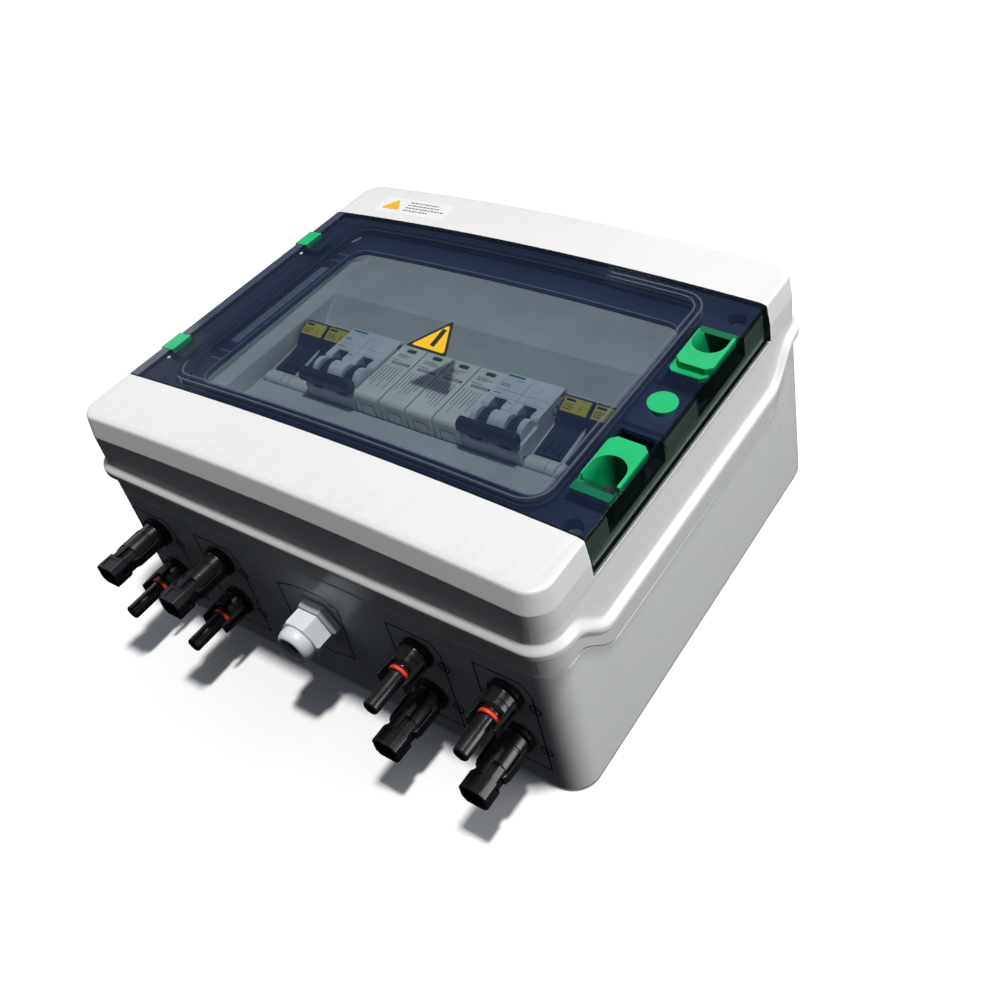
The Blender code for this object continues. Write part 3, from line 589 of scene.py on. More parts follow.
INK_TEAL = printed("ink_teal", (0.03, 0.24, 0.30))
MUSTARD = printed("label_mustard", (0.62, 0.52, 0.05), 0.45)
AMBER = printed("sticker_amber", (0.86, 0.50, 0.010), 0.35)
PAPER = printed("label_paper", (0.86, 0.86, 0.82), 0.4)
STATUS = printed("status_green", (0.010, 0.10, 0.075), 0.25)
HOLE = printed("hole_black", (0.006, 0.006, 0.008), 0.6)


# ---- Case ----------------------------------------------------------------------------------


def rise(y):
    """0 along the sides of the case and 1 at its ends, with a smooth step between."""
    part = min(max((abs(y) - STEP_START) / (STEP_STOP - STEP_START), 0.0), 1.0)
    return part * part * (3 - 2 * part)


def seam_at(y):
    return SEAM_SIDE + (SEAM_END - SEAM_SIDE) * rise(y)


def case_outline(grow_x=0.0, grow_y=0.0, radius=CORNER):
    """The case seen from the front, with its straight sides divided evenly."""
    half_x, half_y = HALF_WIDTH + grow_x - radius, HALF_HEIGHT + grow_y - radius
    centres = ((half_x, half_y), (-half_x, half_y), (-half_x, -half_y), (half_x, -half_y))
    points = []
    for i, (x, y) in enumerate(centres):
        points += [Vector(p) for p in arc(x, y, radius, 90 * i, 90 * i + 90, CORNER_STEPS)]
        last, (next_x, next_y) = points[-1], centres[(i + 1) % 4]
        target = Vector(arc(next_x, next_y, radius, 90 * i + 90, 90 * i + 90, 1)[0])
        count = SIDE_STEPS if i % 2 else END_STEPS
        points += [last.lerp(target, step / count) for step in range(1, count)]
    return points


def softened(points, cuts, steps=4):
    """A profile with each corner that has a cut turned into a short curve."""
    found = [points[0]]
    for before, corner, after, cut in zip(points, points[1:], points[2:], cuts):
        if not cut:
            found.append(corner)
            continue
        corner = Vector(corner)
        first = corner + (Vector(before) - corner).normalized() * cut
        last = corner + (Vector(after) - corner).normalized() * cut
        for i in range(steps + 1):
            t = i / steps
            found.append(tuple(first * (1 - t) ** 2 + corner * 2 * t * (1 - t) + last * t**2))
    return found + [points[-1]]


def rib_bulge(off_crest):
    """How far the rib stands out, this far above or below its crest."""
    part = min(max(1 - (abs(off_crest) - RIB_FLAT) / RIB_FADE, 0.0), 1.0)
    return RIB_PROUD * part * part * (3 - 2 * part)


def make_base():
    back = [(-2.0, 0.0), (-1.2, 0.25), (-0.55, 0.7), (-0.15, 1.3), (0.0, 2.0)]
    rings = [[(*p, z) for p in case_outline(grow, grow, CORNER + grow)] for grow, z in back]
    outline = case_outline()
    lip = case_outline(-0.5, -0.5, CORNER - 0.5)
    rings.append([(*p, seam_at(p.y) - GAP - 0.6) for p in outline])
    rings.append([(*p, seam_at(p.y) - GAP) for p in lip])
    base = loft("case_base", rings)
    inner_x, inner_y = HALF_WIDTH - WALL, HALF_HEIGHT - WALL
    hollow = rounded(-inner_x, inner_x, -inner_y, inner_y, CORNER - WALL)
    cut(base, prism("base_hollow", hollow, "Z", FLOOR, 100.0))
    for i, screw in enumerate(COVER_SCREWS):
        add(base, rod(f"post_{i}", (screw.x, screw.y, 1), (screw.x, screw.y, 58), 5.5))
        cut(base, rod(f"post_hole_{i}", (screw.x, screw.y, 38), (screw.x, screw.y, 60), 2.4))
    for i in range(1, 5):
        for kind in ("socket", "plug"):
            entry = middle(f"string_{kind}_{i}")
            name = f"entry_{kind}_{i}"
            cut(base, rod(name, (entry.x, -130, entry.z), (entry.x, -115, entry.z), 6.2))
    entry = middle("gland_body")
    cut(base, rod("gland_entry", (entry.x, -130, entry.z), (entry.x, -115, entry.z), 8.3))
    for i, (x, y) in enumerate(WALL_HOLES):
        cut(base, rod(f"wall_hole_{i}", (x, y, -2), (x, y, 6), 2.6))
        cut(base, rod(f"wall_hole_sink_{i}", (x, y, -1), (x, y, 1.2), 4.6, end_radius=2.6))
    place(base, GREY, nodes=["base_shell"], slot="case_grey")


def cover_rings():
    """The cover's outer skin: the skirt with its rib, the tilted band and the rounded edge."""
    outline, grown = case_outline(), case_outline(1.0, 1.0, CORNER + 1.0)
    outward = [far - near for near, far in zip(outline, grown)]
    rings, rows = [], 72
    for row in range(rows + 1):
        ring = []
        for point, out in zip(outline, outward):
            low = seam_at(point.y) + GAP
            z = low + (BOW_LOW - low) * row / rows
            crest = seam_at(0.97 * point.y) + RIB_RISE
            lip = -0.45 if row == 0 else 0.0
            reach = rib_bulge(z - crest) + lip
            ring.append((*(point + out * reach), z))
        rings.append(ring)
    profile = [
        (0.3, -0.2, BOW_LOW + 3.0), (0.4, -0.5, BAND), (-0.75, -2.35, FRONT - 0.9),
        (-4.0, -5.6, FRONT),
    ]
    for grow_x, grow_y, z in softened(profile, (0.5, 1.1), 4):
        radius = CORNER + min(grow_x, grow_y) * 1.1
        rings.append([(*p, z) for p in case_outline(grow_x, grow_y, radius)])
    return rings


def cover_part(centre, normal):
    """The finish of a face of the cover: 1 under the door, dark navy with painted shade, which also
    covers the well walls, screw towers and hinge lugs there; 2 the tilted band; 0 the rest.
    """
    level = bow_at(centre.x)
    # Screw towers and hinge lugs under the door are painted dark: painted shade.
    at_tower = min((centre.xy - screw.xy).length for screw in COVER_SCREWS) < 7.2 and centre.z > 112
    on_land = abs(centre.y) < DOOR_HALF + 1.2 and LAND - 12 < centre.z - level < LAND + 0.6
    behind_flap = normal.x > 0.7 and centre.x > 142
    at_lug = centre.x < -134 and abs(centre.y) < DOOR_HALF and centre.z > LAND + 0.1
    flap_ledge = normal.z > 0.5 and centre.z < FLAP_END - 1
    if at_tower or at_lug or (on_land and not behind_flap and not flap_ledge):
        return 1
    tilted = 0.05 < normal.z < 0.5 and centre.z - bow_at(centre.x, centre.z) > BAND - 0.5
    return 2 if tilted else 0


def make_cover():
    cover = loft("case_cover", cover_rings())
    inner_x, inner_y = HALF_WIDTH - WALL, HALF_HEIGHT - WALL
    skirt = rounded(-inner_x, inner_x, -inner_y, inner_y, CORNER - WALL)
    cut(cover, prism("skirt_hollow", skirt, "Z", 50.0, 111.5))
    head = rounded(-133, 118.5, -inner_y, inner_y, 8)
    cut(cover, prism("head_hollow", head, "Z", 105.0, LAND - LAND_THICK))
    left = rounded(-inner_x, 0, -inner_y, inner_y, 8)
    cut(cover, prism("left_hollow", left, "Z", 105.0, 124.0))
    for side in (-1, 1):
        low, high = mirrored(side, 90.0, 118.0)
        cut(
            cover,
            prism(f"strip_{side}", rounded(-141, 141, low, high, 6), "Z", 120.0, FRONT - WALL),
        )
    for i, screw in enumerate(COVER_SCREWS):
        add(cover, rod(f"tower_{i}", (screw.x, screw.y, 58.3), (screw.x, screw.y, 128.5), 6.5))
    reach = DOOR_HALF + 0.9
    cut(cover, block("door_recess", (-155, -reach, LAND), (155, reach, 150)))
    cut(cover, block("flap_recess", (143.4, -reach, 114.3), (155, reach, 150)))
    cut(cover, prism("land_opening", rounded(*LAND_PLATE, 8), "Z", LAND - LAND_THICK - 0.3, 150))
    for side in (-1, 1):
        low, high = mirrored(side, 16.0, 66.0)
        cut(cover, block(f"latch_pocket_{side}", (121.5, low, 119), (150, high, 150)))
        low, high = mirrored(side, CLIP_LOW - 0.4, CLIP_HIGH + 0.4)
        cut(cover, block(f"hinge_notch_{side}", (-155, low, 128.0), (-138, high, 150)))
    for i, screw in enumerate(COVER_SCREWS):
        cut(cover, rod(f"screw_pocket_{i}", (screw.x, screw.y, 121), (screw.x, screw.y, 140), 5.0))
        cut(cover, rod(f"screw_bore_{i}", (screw.x, screw.y, 50), (screw.x, screw.y, 130), 2.4))
    for side in (-1, 1):
        for near, far in ((CLIP_LOW + GAP, 51.5), (58.5, CLIP_HIGH - GAP)):
            add(cover, knuckle(f"lug_{side}_{near:.0f}", side, near, far, 1.6, -50, 9.0))
        cut(cover, hinge_rod(f"hinge_bore_{side}", side, 46.0, 64.0, 1.15))
    bow(cover)
    several_looks(cover, (PALE, LAND_DARK_AND_SHADE, PALE_BAND), cover_part)
    place(cover, PALE, nodes=["front_cover"], slot="cover_pale")
    make_land()


def make_land():
    """The plate round the opening, with a raised lip and small ribs. It casts no shadow. It is dark
    navy with painted shade, and its raised tops are lighter as a painted highlight.
    """
    low_z = LAND - LAND_THICK
    plate = prism("land_plate", rounded(*LAND_PLATE, 8), "Z", low_z, LAND)
    lip = rounded(-109.4, 114.4, -72.3, 62.1, 10.9, 12)
    add(plate, prism("lip", lip, "Z", LAND - 0.5, LAND + 0.5))
    add(plate, block("hinge_side_pad", (-120.5, -38, LAND - 0.5), (-112.0, 39, LAND + 0.35)))
    for y in (54.0, 47.0, -46.0, -53.0):
        add(
            plate, block("cross_rib", (-121.0, y - 0.5, LAND - 0.5), (-109.5, y + 0.5, LAND + 0.35))
        )
    cut(plate, prism("window", rounded(-108.5, 113.5, -71.4, 61.2, 10, 12), "Z", 110, 150))
    for i, screw in enumerate(COVER_SCREWS):
        cut(plate, rod(f"plate_pocket_{i}", (screw.x, screw.y, 121), (screw.x, screw.y, 140), 5.0))
    bow(plate)
    # Faces standing above the land take the lighter finish: a painted highlight.
    several_looks(plate, (LAND_DARK_AND_SHADE, LAND_HIGHLIGHT), lambda c, n: c.z - bow_at(c.x) > LAND + 0.1)
    place(plate, LAND_DARK_AND_SHADE).visible_shadow = False


def hinge_rod(name, side, near, far, radius):
    height = middle("hinge_pin_upper").z - bow_at(HINGE_X)
    return rod(name, (HINGE_X, side * near, height), (HINGE_X, side * far, height), radius, 24)


def knuckle(name, side, near, far, radius, heading, length):
    """A round-ended arm on the hinge line, pointing along a heading in the X-Z plane."""
    height = middle("hinge_pin_upper").z - bow_at(HINGE_X)
    outline = arc(HINGE_X, height, radius, heading + 90, heading + 270, 14)
    run = Vector((math.cos(math.radians(heading)), math.sin(math.radians(heading)))) * length
    outline += [
        (outline[-1][0] + run.x, outline[-1][1] + run.y),
        (outline[0][0] + run.x, outline[0][1] + run.y),
    ]
    low, high = mirrored(side, near, far)
    return prism(name, outline, "Y", low, high)


# ---- Door, clips, latches and cap ----------------------------------------------------------


def bead_ring(name, inset, width, low_z, high_z, edge=0.0):
    """A flat frame that follows the door's bead, inset from its outer line."""

    def outline(grow):
        radius = BEAD_CORNER - grow
        return rounded(
            BEAD_LEFT + grow, BEAD_RIGHT - grow, -BEAD_HALF + grow, BEAD_HALF - grow, radius, 14
        )

    ring = prism(name, outline(inset), "Z", low_z, high_z, edge)
    return cut(ring, prism(name + "_inside", outline(inset + width), "Z", low_z - 1, high_z + 1))


def latch_window(name, side):
    """The opening over a latch, with its inner corners cut off."""
    chamfer, left, right = 2.2, 123.5, 145.1
    outline = [
        (left, WINDOW_LOW + chamfer), (left + chamfer, WINDOW_LOW),
        (right - chamfer, WINDOW_LOW), (right, WINDOW_LOW + chamfer), (right, WINDOW_HIGH),
        (left, WINDOW_HIGH),
    ]
    return prism(name, [(x, side * y) for x, y in outline], "Z", 132.0, 145.0)


def door_part(centre, normal):
    """A face of the door: 1 cut edges, 2 the flap, in a deeper tint as painted shade, 3 ribs and
    bead on the near and right sides, paler as a painted highlight, 4 the hinge margin.
    """
    above_back = centre.z - bow_at(centre.x)
    at_end = abs(abs(centre.y) - DOOR_HALF) < 0.3 and abs(normal.y) > 0.6
    at_hinge = centre.x < DOOR_LEFT + 0.5 and normal.x < -0.6
    if at_end or at_hinge or centre.z < FLAP_END + 0.3:
        return 1
    if centre.x > DOOR_RIGHT - 2.4 and (above_back < DOOR_BACK or normal.x > 0.7):
        return 2
    if centre.x < HINGE_MARGIN:
        return 4
    raised = above_back < DOOR_BACK - 0.1 or above_back > FRONT + 0.05
    # Only the sides that catch the light get the paler rib finish: a painted highlight.
    catches_light = centre.y < -60 or centre.x > 60
    return 3 if raised and catches_light else 0


def make_door():
    edge = arc(DOOR_RIGHT - 1.6, FRONT - 1.6, 1.6, 90, 3, 8)
    foot = [(DOOR_RIGHT + 1.2, FLAP_END + 3.0), (DOOR_RIGHT + 1.2, FLAP_END)]
    profile = [(DOOR_LEFT, DOOR_BACK), (DOOR_LEFT, FRONT - 0.6), (DOOR_LEFT + 0.6, FRONT)]
    profile += edge + foot + [(DOOR_RIGHT - 0.9, FLAP_END), (DOOR_RIGHT - 2.3, DOOR_BACK)]
    door = prism("door_pane", profile, "Y", -DOOR_HALF, DOOR_HALF)
    for i, inset in enumerate((0.0, 3.6)):
        add(door, bead_ring(f"door_rib_{i}", inset, 1.2, 132.5, DOOR_BACK + 0.5))
        add(door, bead_ring(f"door_bead_{i}", inset - 0.1, 1.0, FRONT - 0.5, FRONT + 0.4, 0.25))
    for y in (-15.6, 15.6):
        add(door, block(f"stiffener_{y}", (121.0, y - 0.5, 131.5), (144.6, y + 0.5, 135.0)))
        web = [
            (144.9, 136.0), (141.5, 134.0), (142.8, 131.0), (145.6, FLAP_END + 2.0),
            (145.9, FLAP_END + 2.0),
        ]
        add(door, prism(f"web_{y}", web, "Y", y - 0.5, y + 0.5))
    for side in (-1, 1):
        cut(door, latch_window(f"latch_window_{side}", side))
        low, high = mirrored(side, CLIP_LOW - GAP, CLIP_HIGH + GAP)
        cut(door, block(f"clip_notch_{side}", (-150, low, 130), (-136.6, high, 140)))
    cut(door, rod("cap_hole", (CAP.x, 0, 130), (CAP.x, 0, 140), 6.2))
    bow(door, extra=(HINGE_MARGIN,))
    several_looks(door, (SMOKE, SMOKE_EDGE, SMOKE_FLAP_SHADED, SMOKE_RIB_HIGHLIT, SMOKE_HINGE), door_part)
    place(door, SMOKE, "door", ["door"], "tinted_door")

    seal = bow(bead_ring("door_gasket", 1.35, 2.1, 130.6, 134.2, 0.4))
    place(seal, DOOR_RUBBER, "door", ["door_seal"], "gasket_rubber")

    radius = (ends("lock_cap")[1].x - ends("lock_cap")[0].x) / 2
    top = FRONT + 0.95
    cap = rod("cap_disc", (CAP.x, 0, FRONT + 0.15), (CAP.x, 0, top), radius, 72, edge=0.35)
    add(cap, rod("cap_stem", (CAP.x, 0, DOOR_BACK - 0.6), (CAP.x, 0, FRONT + 0.7), 5.9))
    place(bow(cap), GREEN, "door", ["lock_cap"], "green_plastic").visible_shadow = False
    for side in (-1, 1):
        make_clip(side)


def make_clip(side):
    profile = [
        (-146.5, 136.1), (-146.9, 136.8), (-146.4, 137.4), (-136.9, 137.4),
        (-136.9, DOOR_BACK - 0.4), (-128.6, DOOR_BACK - 0.4), (-128.6, 132.9), (-139.0, 132.9),
        (-139.0, 136.1),
    ]
    low, high = mirrored(side, CLIP_LOW, CLIP_HIGH)
    which = "upper" if side > 0 else "lower"
    clip = prism(f"clip_{which}", profile, "Y", low, high, 0.25)
    add(clip, knuckle(f"clip_knuckle_{side}", side, 51.8, 58.2, 1.75, 90, 2.4))
    cut(clip, hinge_rod(f"clip_bore_{side}", side, 46, 64, 1.15))
    bow(clip)
    # The tongue under the door and the clip's lower faces take the near-black green: painted shade.
    several_looks(clip, (GREEN, GREEN_SHADED), lambda c, n: c.x > -136.8 or c.z - bow_at(c.x) < 135.5)
    place(clip, GREEN, "door", [f"hinge_clip_{which}"], "green_plastic")


def make_latch(side):
    which = "upper" if side > 0 else "lower"

    def oblong(name, x_low, x_high, near, far, low_z, high_z, chamfer, edge):
        points = [
            (x_low, near + chamfer), (x_low + chamfer, near), (x_high - chamfer, near),
            (x_high, near + chamfer), (x_high, far), (x_low, far),
        ]
        return prism(name, [(x, side * y) for x, y in points], "Z", low_z, high_z, edge)

    latch = oblong(f"slide_{which}", 122.6, 142.8, 25, 62, 131.2, DOOR_BACK - 0.4, 3, 0.3)
    add(latch, oblong("slab", 124.9, 144.7, 28.7, 55.6, 133.4, 137.9, 3.2, 0.4))
    add(latch, oblong("latch_body", 125.5, 142.6, 34, 60, 120.5, 132.0, 2, 0.4))
    scoop = (LATCH_X, side * SCOOP_Y)
    cut(latch, rod("scoop", (*scoop, SCOOP_LOW), (*scoop, SCOOP_HIGH), SCOOP_FOOT, 64, SCOOP_RIM))
    low, high = mirrored(side, SCOOP_Y, SCOOP_MOUTH)
    slope = [
        (LATCH_X - SCOOP_FOOT, SCOOP_LOW), (LATCH_X + SCOOP_FOOT, SCOOP_LOW),
        (LATCH_X + SCOOP_RIM, SCOOP_HIGH), (LATCH_X - SCOOP_RIM, SCOOP_HIGH),
    ]
    cut(latch, prism("scoop_mouth", slope, "Y", low, high))
    bow(latch)

    def latch_part(centre, normal):
        """0 the slab's top, 1 the finger scoop, with painted light and shade, 2 the body below, in
        painted shade.
        """
        height = centre.z - bow_at(centre.x)
        share = (height - SCOOP_LOW) / (SCOOP_HIGH - SCOOP_LOW)
        radius = SCOOP_FOOT + (SCOOP_RIM - SCOOP_FOOT) * share
        on_cone = abs((centre.xy - Vector(scoop)).length - radius) < 0.8
        in_scoop = on_cone and normal.z < 0.96
        on_slope = abs(abs(centre.x - LATCH_X) - radius) < 0.8
        in_mouth = on_slope and SCOOP_Y < abs(centre.y) < SCOOP_MOUTH - 0.2
        if in_scoop or (in_mouth and abs(normal.x) > 0.5) or (normal.z > 0.9 and height < 125):
            return 1
        return 2 if height < 132.0 else 0

    several_looks(latch, (GREEN, GREEN_HOLLOW_SHADED, GREEN_SHADED), latch_part)
    place(latch, GREEN, f"latch_{which}", [f"latch_{which}"], "green_plastic")


# ---- Print and labels ----------------------------------------------------------------------


def slabs(
    name, rects, origin, look, body="enclosure", thick=LIFT, across=RIGHT, along=UP, shift=None
):
    """Thin rectangles on a face: print, labels and shallow relief. Each is (low, low, high, high).

    across and along are the face's own two directions, from its origin.
    """
    across, along, origin = Vector(across).normalized(), Vector(along).normalized(), Vector(origin)
    out = across.cross(along)
    bm = bmesh.new()
    for u0, v0, u1, v1 in rects:
        corners = ((u0, v0), (u1, v0), (u1, v1), (u0, v1))
        push(bm, [origin + across * u + along * v for u, v in corners], out * thick)
    if shift:
        for vert in bm.verts:
            vert.co.z += shift(vert.co.x)
    return place(keep(name, bm), look, body)


def text_rows(seed, low_u, high_u, rows, height, pitch, start_v=0.0, broken=0.35):
    """Bars that stand for lines of print, each broken into a few words."""
    dice = random.Random(seed)
    found = []
    for row in range(rows):
        v = start_v + row * pitch
        u = low_u
        stop = low_u + (high_u - low_u) * dice.uniform(0.55, 1.0)
        while u < stop - 0.4:
            end = min(u + dice.uniform(0.8, 2.6), stop)
            found.append((u, v, end, v + height))
            u = end + broken
    return found


def ribbon(name, runs, width, look, wall_y, rings=()):
    """Printed lines on the lower wall: runs of (x, z) points, and circles of (x, z, radius)."""
    bm = bmesh.new()

    def quad(corners):
        push(bm, [(x, wall_y + SUNK, z) for x, z in corners], (0, -LIFT - SUNK, 0))

    half = width / 2
    for run in runs:
        for first, last in zip(run, run[1:]):
            first, last = Vector(first), Vector(last)
            ahead = (last - first).normalized()
            side = Vector((-ahead.y, ahead.x)) * half
            first, last = first - ahead * half, last + ahead * half
            quad([first + side, first - side, last - side, last + side])
    for x, z, radius in rings:
        inner, outer = arc(x, z, radius - half, 0, 360, 32), arc(x, z, radius + half, 0, 360, 32)
        for i in range(32):
            quad([inner[i], inner[i + 1], outer[i + 1], outer[i]])
    return place(keep(name, bm), look)


# ---- Devices behind the door ---------------------------------------------------------------


def make_surround():
    """The frame round the devices: a ledge under the recess, with a well inside it."""

    def ring(x, y_low, y_high, radius, z, far_z=None, right=None):
        outline = rounded(-x, right or x, y_low, y_high, radius, 14)
        return [(*p, z if far_z is None or p[1] < 0 else far_z) for p in outline]

    slot = (SLOT_HALF, SLOT_LOW, SLOT_HIGH)
    rings = [
        ring(121.5, -77, 79.6, 8, LAND - LAND_THICK - 0.1, right=118.2),
        ring(121.5, -77, 79.6, 8, 117.2, 119.2, right=118.2),
        ring(121.1, -76.6, 79.2, 7.6, 116.5, 118.5, right=117.8),
        ring(110.6, -69.5, 37.2, 2.0, 115.9, 116.2),
        ring(110.1, -69.0, 36.0, 1.6, 115.2, 115.6),
        ring(109.5, -68.5, 22.0, 1.6, 105.6),
        ring(109.3, -68.0, 20.6, 1.6, 105.0),
        ring(SLOT_HALF + 0.4, SLOT_LOW - 0.4, SLOT_HIGH + 0.4, 1.2, 104.8),
        ring(*slot, 1.0, 104.4),
        ring(*slot, 1.0, 102.6),
    ]
    panel = loft("surround_panel", rings, capped=False)
    flat = max(panel.data.polygons, key=lambda face: face.area)
    if flat.normal.z < 0:
        panel.data.flip_normals()
    shell = panel.modifiers.new("thickness", "SOLIDIFY")
    shell.thickness = 1.6 * MM
    shell.offset = -1
    place(bow(panel, 14), PANEL, nodes=["device_surround"], slot="panel_grey")


def device_outline(front, low, high, shoulder=100.5):
    """A rail device from the side. Its back grips the rail, and front lists its front."""
    grip, row_y = 17.9, (low.y + high.y) / 2 - 0.3
    return [
        (row_y + grip, low.z + 6.4),
        (row_y + grip, low.z),
        (high.y, low.z),
        (high.y, shoulder - 3),
        (high.y - 2, shoulder),
        *front,
        (low.y + 2, shoulder),
        (low.y, shoulder - 3),
        (low.y, low.z),
        (row_y - grip, low.z),
        (row_y - grip, low.z + 6.4),
    ]


def terminal_marks(name, x_centres, y, z, body_look, radius=3.1):
    """A cross-head terminal screw in a round well, at each centre."""
    for i, x in enumerate(x_centres):
        well = rod(f"{name}_screw_{i}", (x, y, z - 0.1), (x, y, z + 0.55), radius, 32, edge=0.15)
        cut(
            well,
            block(
                "slot_a", (x - radius * 0.7, y - 0.4, z + 0.2), (x + radius * 0.7, y + 0.4, z + 1)
            ),
        )
        cut(
            well,
            block(
                "slot_b", (x - 0.4, y - radius * 0.7, z + 0.2), (x + 0.4, y + radius * 0.7, z + 1)
            ),
        )
        place(well, body_look)


def make_breaker(index):
    node_name = f"breaker_{index}"
    low, high = ends(node_name)
    x, top = (low.x + high.x) / 2, high.z
    pitch = (high.x - low.x) / 4 + 0.1
    front = [
        (FACE_HIGH, 100.5), (FACE_HIGH, top - 0.8), (FACE_HIGH - 0.8, top), (-14.2, top),
        (-15.4, top - 1.2), (-16.2, top - 4.0), (-30.2, top - 4.4), (-31.4, top - 5.4),
        (FACE_LOW + 0.6, 112.6), (FACE_LOW, 111.9), (FACE_LOW + 0.5, 111.4), (FACE_LOW, 110.9),
        (FACE_LOW, 100.5),
    ]
    body = prism(
        f"breaker_case_{index}", device_outline(front, low, high), "X", low.x, high.x, 0.35, 2, 20
    )
    hump = arc(-21.5, top - 4.0, 6.6, -10, 190, 16)
    add(body, prism("hump", hump, "X", low.x + 1.6, high.x - 1.6, 0.4, 2, 30))
    for side in (-1, 1):
        pole = x + side * pitch
        cut(body, block("toggle_slot", (pole - 3.9, -33.5, 96.2), (pole + 3.9, -8.4, 125)))
        cut(
            body,
            rod(
                "hump_dimple",
                (pole + 5.6, -21.5, top + 2.0),
                (pole + 5.6, -21.5, top + 4.0),
                0.6,
                16,
            ),
        )
    cut(body, block("pole_seam", (x - 0.15, -14, top - 0.4), (x + 0.15, 40, top + 5)))
    cut(body, block("corner_slot", (high.x - 2.8, 5.6, top - 3.4), (high.x + 1, 9.4, top - 0.9)))
    for y, z, radius in ((-0.4, 112.9, 3.0), (-31.0, 107.3, 1.3), (0.2, 102.6, 1.3)):
        cut(body, rod("side_hole", (high.x - 1.3, y, z), (high.x + 1, y, z), radius, 36))
        cut(body, rod("side_hole_left", (low.x - 1, y, z), (low.x + 1.3, y, z), radius, 36))
    place(body, DEVICE, nodes=[node_name], slot="breaker_grey")
    for side, edge in ((-1, low.x), (1, high.x)):
        pip = rod(
            f"breaker_pip_{index}_{side + 1}",
            (edge - side * 1.2, -0.4, 112.9),
            (edge, -0.4, 112.9),
            1.5,
            32,
            edge=0.3,
        )
        place(pip, DEVICE)
    terminal_marks(f"breaker_low_{index}", (x - pitch, x + pitch), -44.5, 100.5, STEEL)
    terminal_marks(f"breaker_high_{index}", (x - pitch, x + pitch), 22.0, 100.5, STEEL)

    origin = (low.x, 0, top)
    width = high.x - low.x
    lines = [
        (1.2, -2.4, width - 1.2, -2.25), (1.0, -7.6, width - 1.2, -7.45), (16.6, -0.6, 16.75, 6.4)
    ]
    lines += [
        (width * 0.7, 0.4, width * 0.7 + 0.15, 2.6), (width * 0.7, 4.2, width * 0.7 + 0.15, 6.6)
    ]
    lines += [(width * 0.66, 2.6, width * 0.7, 2.75), (width * 0.66, 4.1, width * 0.72, 4.25)]
    slabs(f"breaker_lines_{index}", lines, origin, INK_SOFT)
    rows = text_rows(index, 1.6, 8.0, 2, 0.5, 1.3, 0.6)
    rows += text_rows(index + 7, 9.0, 14.0, 1, 0.45, 1.0, 6.2)
    rows += text_rows(index + 9, 1.8, 8.6, 1, 0.5, 1.0, -5.4)
    rows += text_rows(index + 11, 13.0, 18.0, 1, 0.5, 1.0, -10.0)
    slabs(f"breaker_text_{index}", rows, origin, INK_SOFT)
    slabs(f"breaker_stripe_{index}", [(1.6, 8.2, 12.0, 9.6)], origin, INK_TEAL)
    windows = [(9.0, -11.2, 12.4, -8.9), (27.6, -11.2, 31.0, -8.9)]
    slabs(f"breaker_windows_{index}", windows, origin, HOLE, thick=0.12)
    make_toggle(index, x, pitch)


def make_toggle(index, x, pitch):
    """Two drums on one pivot, with a thick bar across their arms."""
    low, high = ends(f"breaker_toggle_{index}")
    pivot_y, pivot_z, reach = -20.0, 108.0, 18.4
    tip_y, tip_z = pivot_y - reach * math.sin(math.pi / 4), pivot_z + reach * math.cos(math.pi / 4)
    grip = [
        (tip_y - 3.4, tip_z - 4.2), (tip_y + 1.6, tip_z - 5.4), (tip_y + 2.9, tip_z - 3.6),
        (tip_y + 3.1, tip_z + 0.6), (tip_y + 2.2, tip_z + 2.4), (tip_y - 0.8, tip_z + 2.2),
        (tip_y - 3.2, tip_z + 0.4),
    ]
    toggle = prism(f"toggle_bar_{index}", grip, "X", low.x, high.x, 1.1, 3, 20)
    for i in range(3):
        line = block(
            "grip_line",
            (low.x + 2.5, tip_y - 1.9 + 1.3 * i, tip_z + 1.2),
            (high.x - 2.5, tip_y - 1.5 + 1.3 * i, tip_z + 4),
        )
        cut(toggle, line)
    for side in (-1, 1):
        pole = x + side * pitch
        stem = [
            (pivot_y - 4.0, pivot_z), (pivot_y + 2.0, pivot_z), (tip_y + 2.9, tip_z + 0.2),
            (tip_y + 1.0, tip_z - 4.6),
        ]
        add(toggle, prism("stem", stem, "X", pole - 3.4, pole + 3.4, 0.3))
        start_at, end_at = (pole - 3.5, pivot_y, pivot_z), (pole + 3.5, pivot_y, pivot_z)
        add(toggle, rod("drum", start_at, end_at, 11.2, 72, edge=0.4))
    bore_at = ((x - 30, pivot_y, pivot_z), (x + 30, pivot_y, pivot_z))
    cut(toggle, rod("drum_bore", *bore_at, 2.0, 24))
    place(toggle, NAVY, f"toggle_{index}", [f"breaker_toggle_{index}"], "toggle_dark")


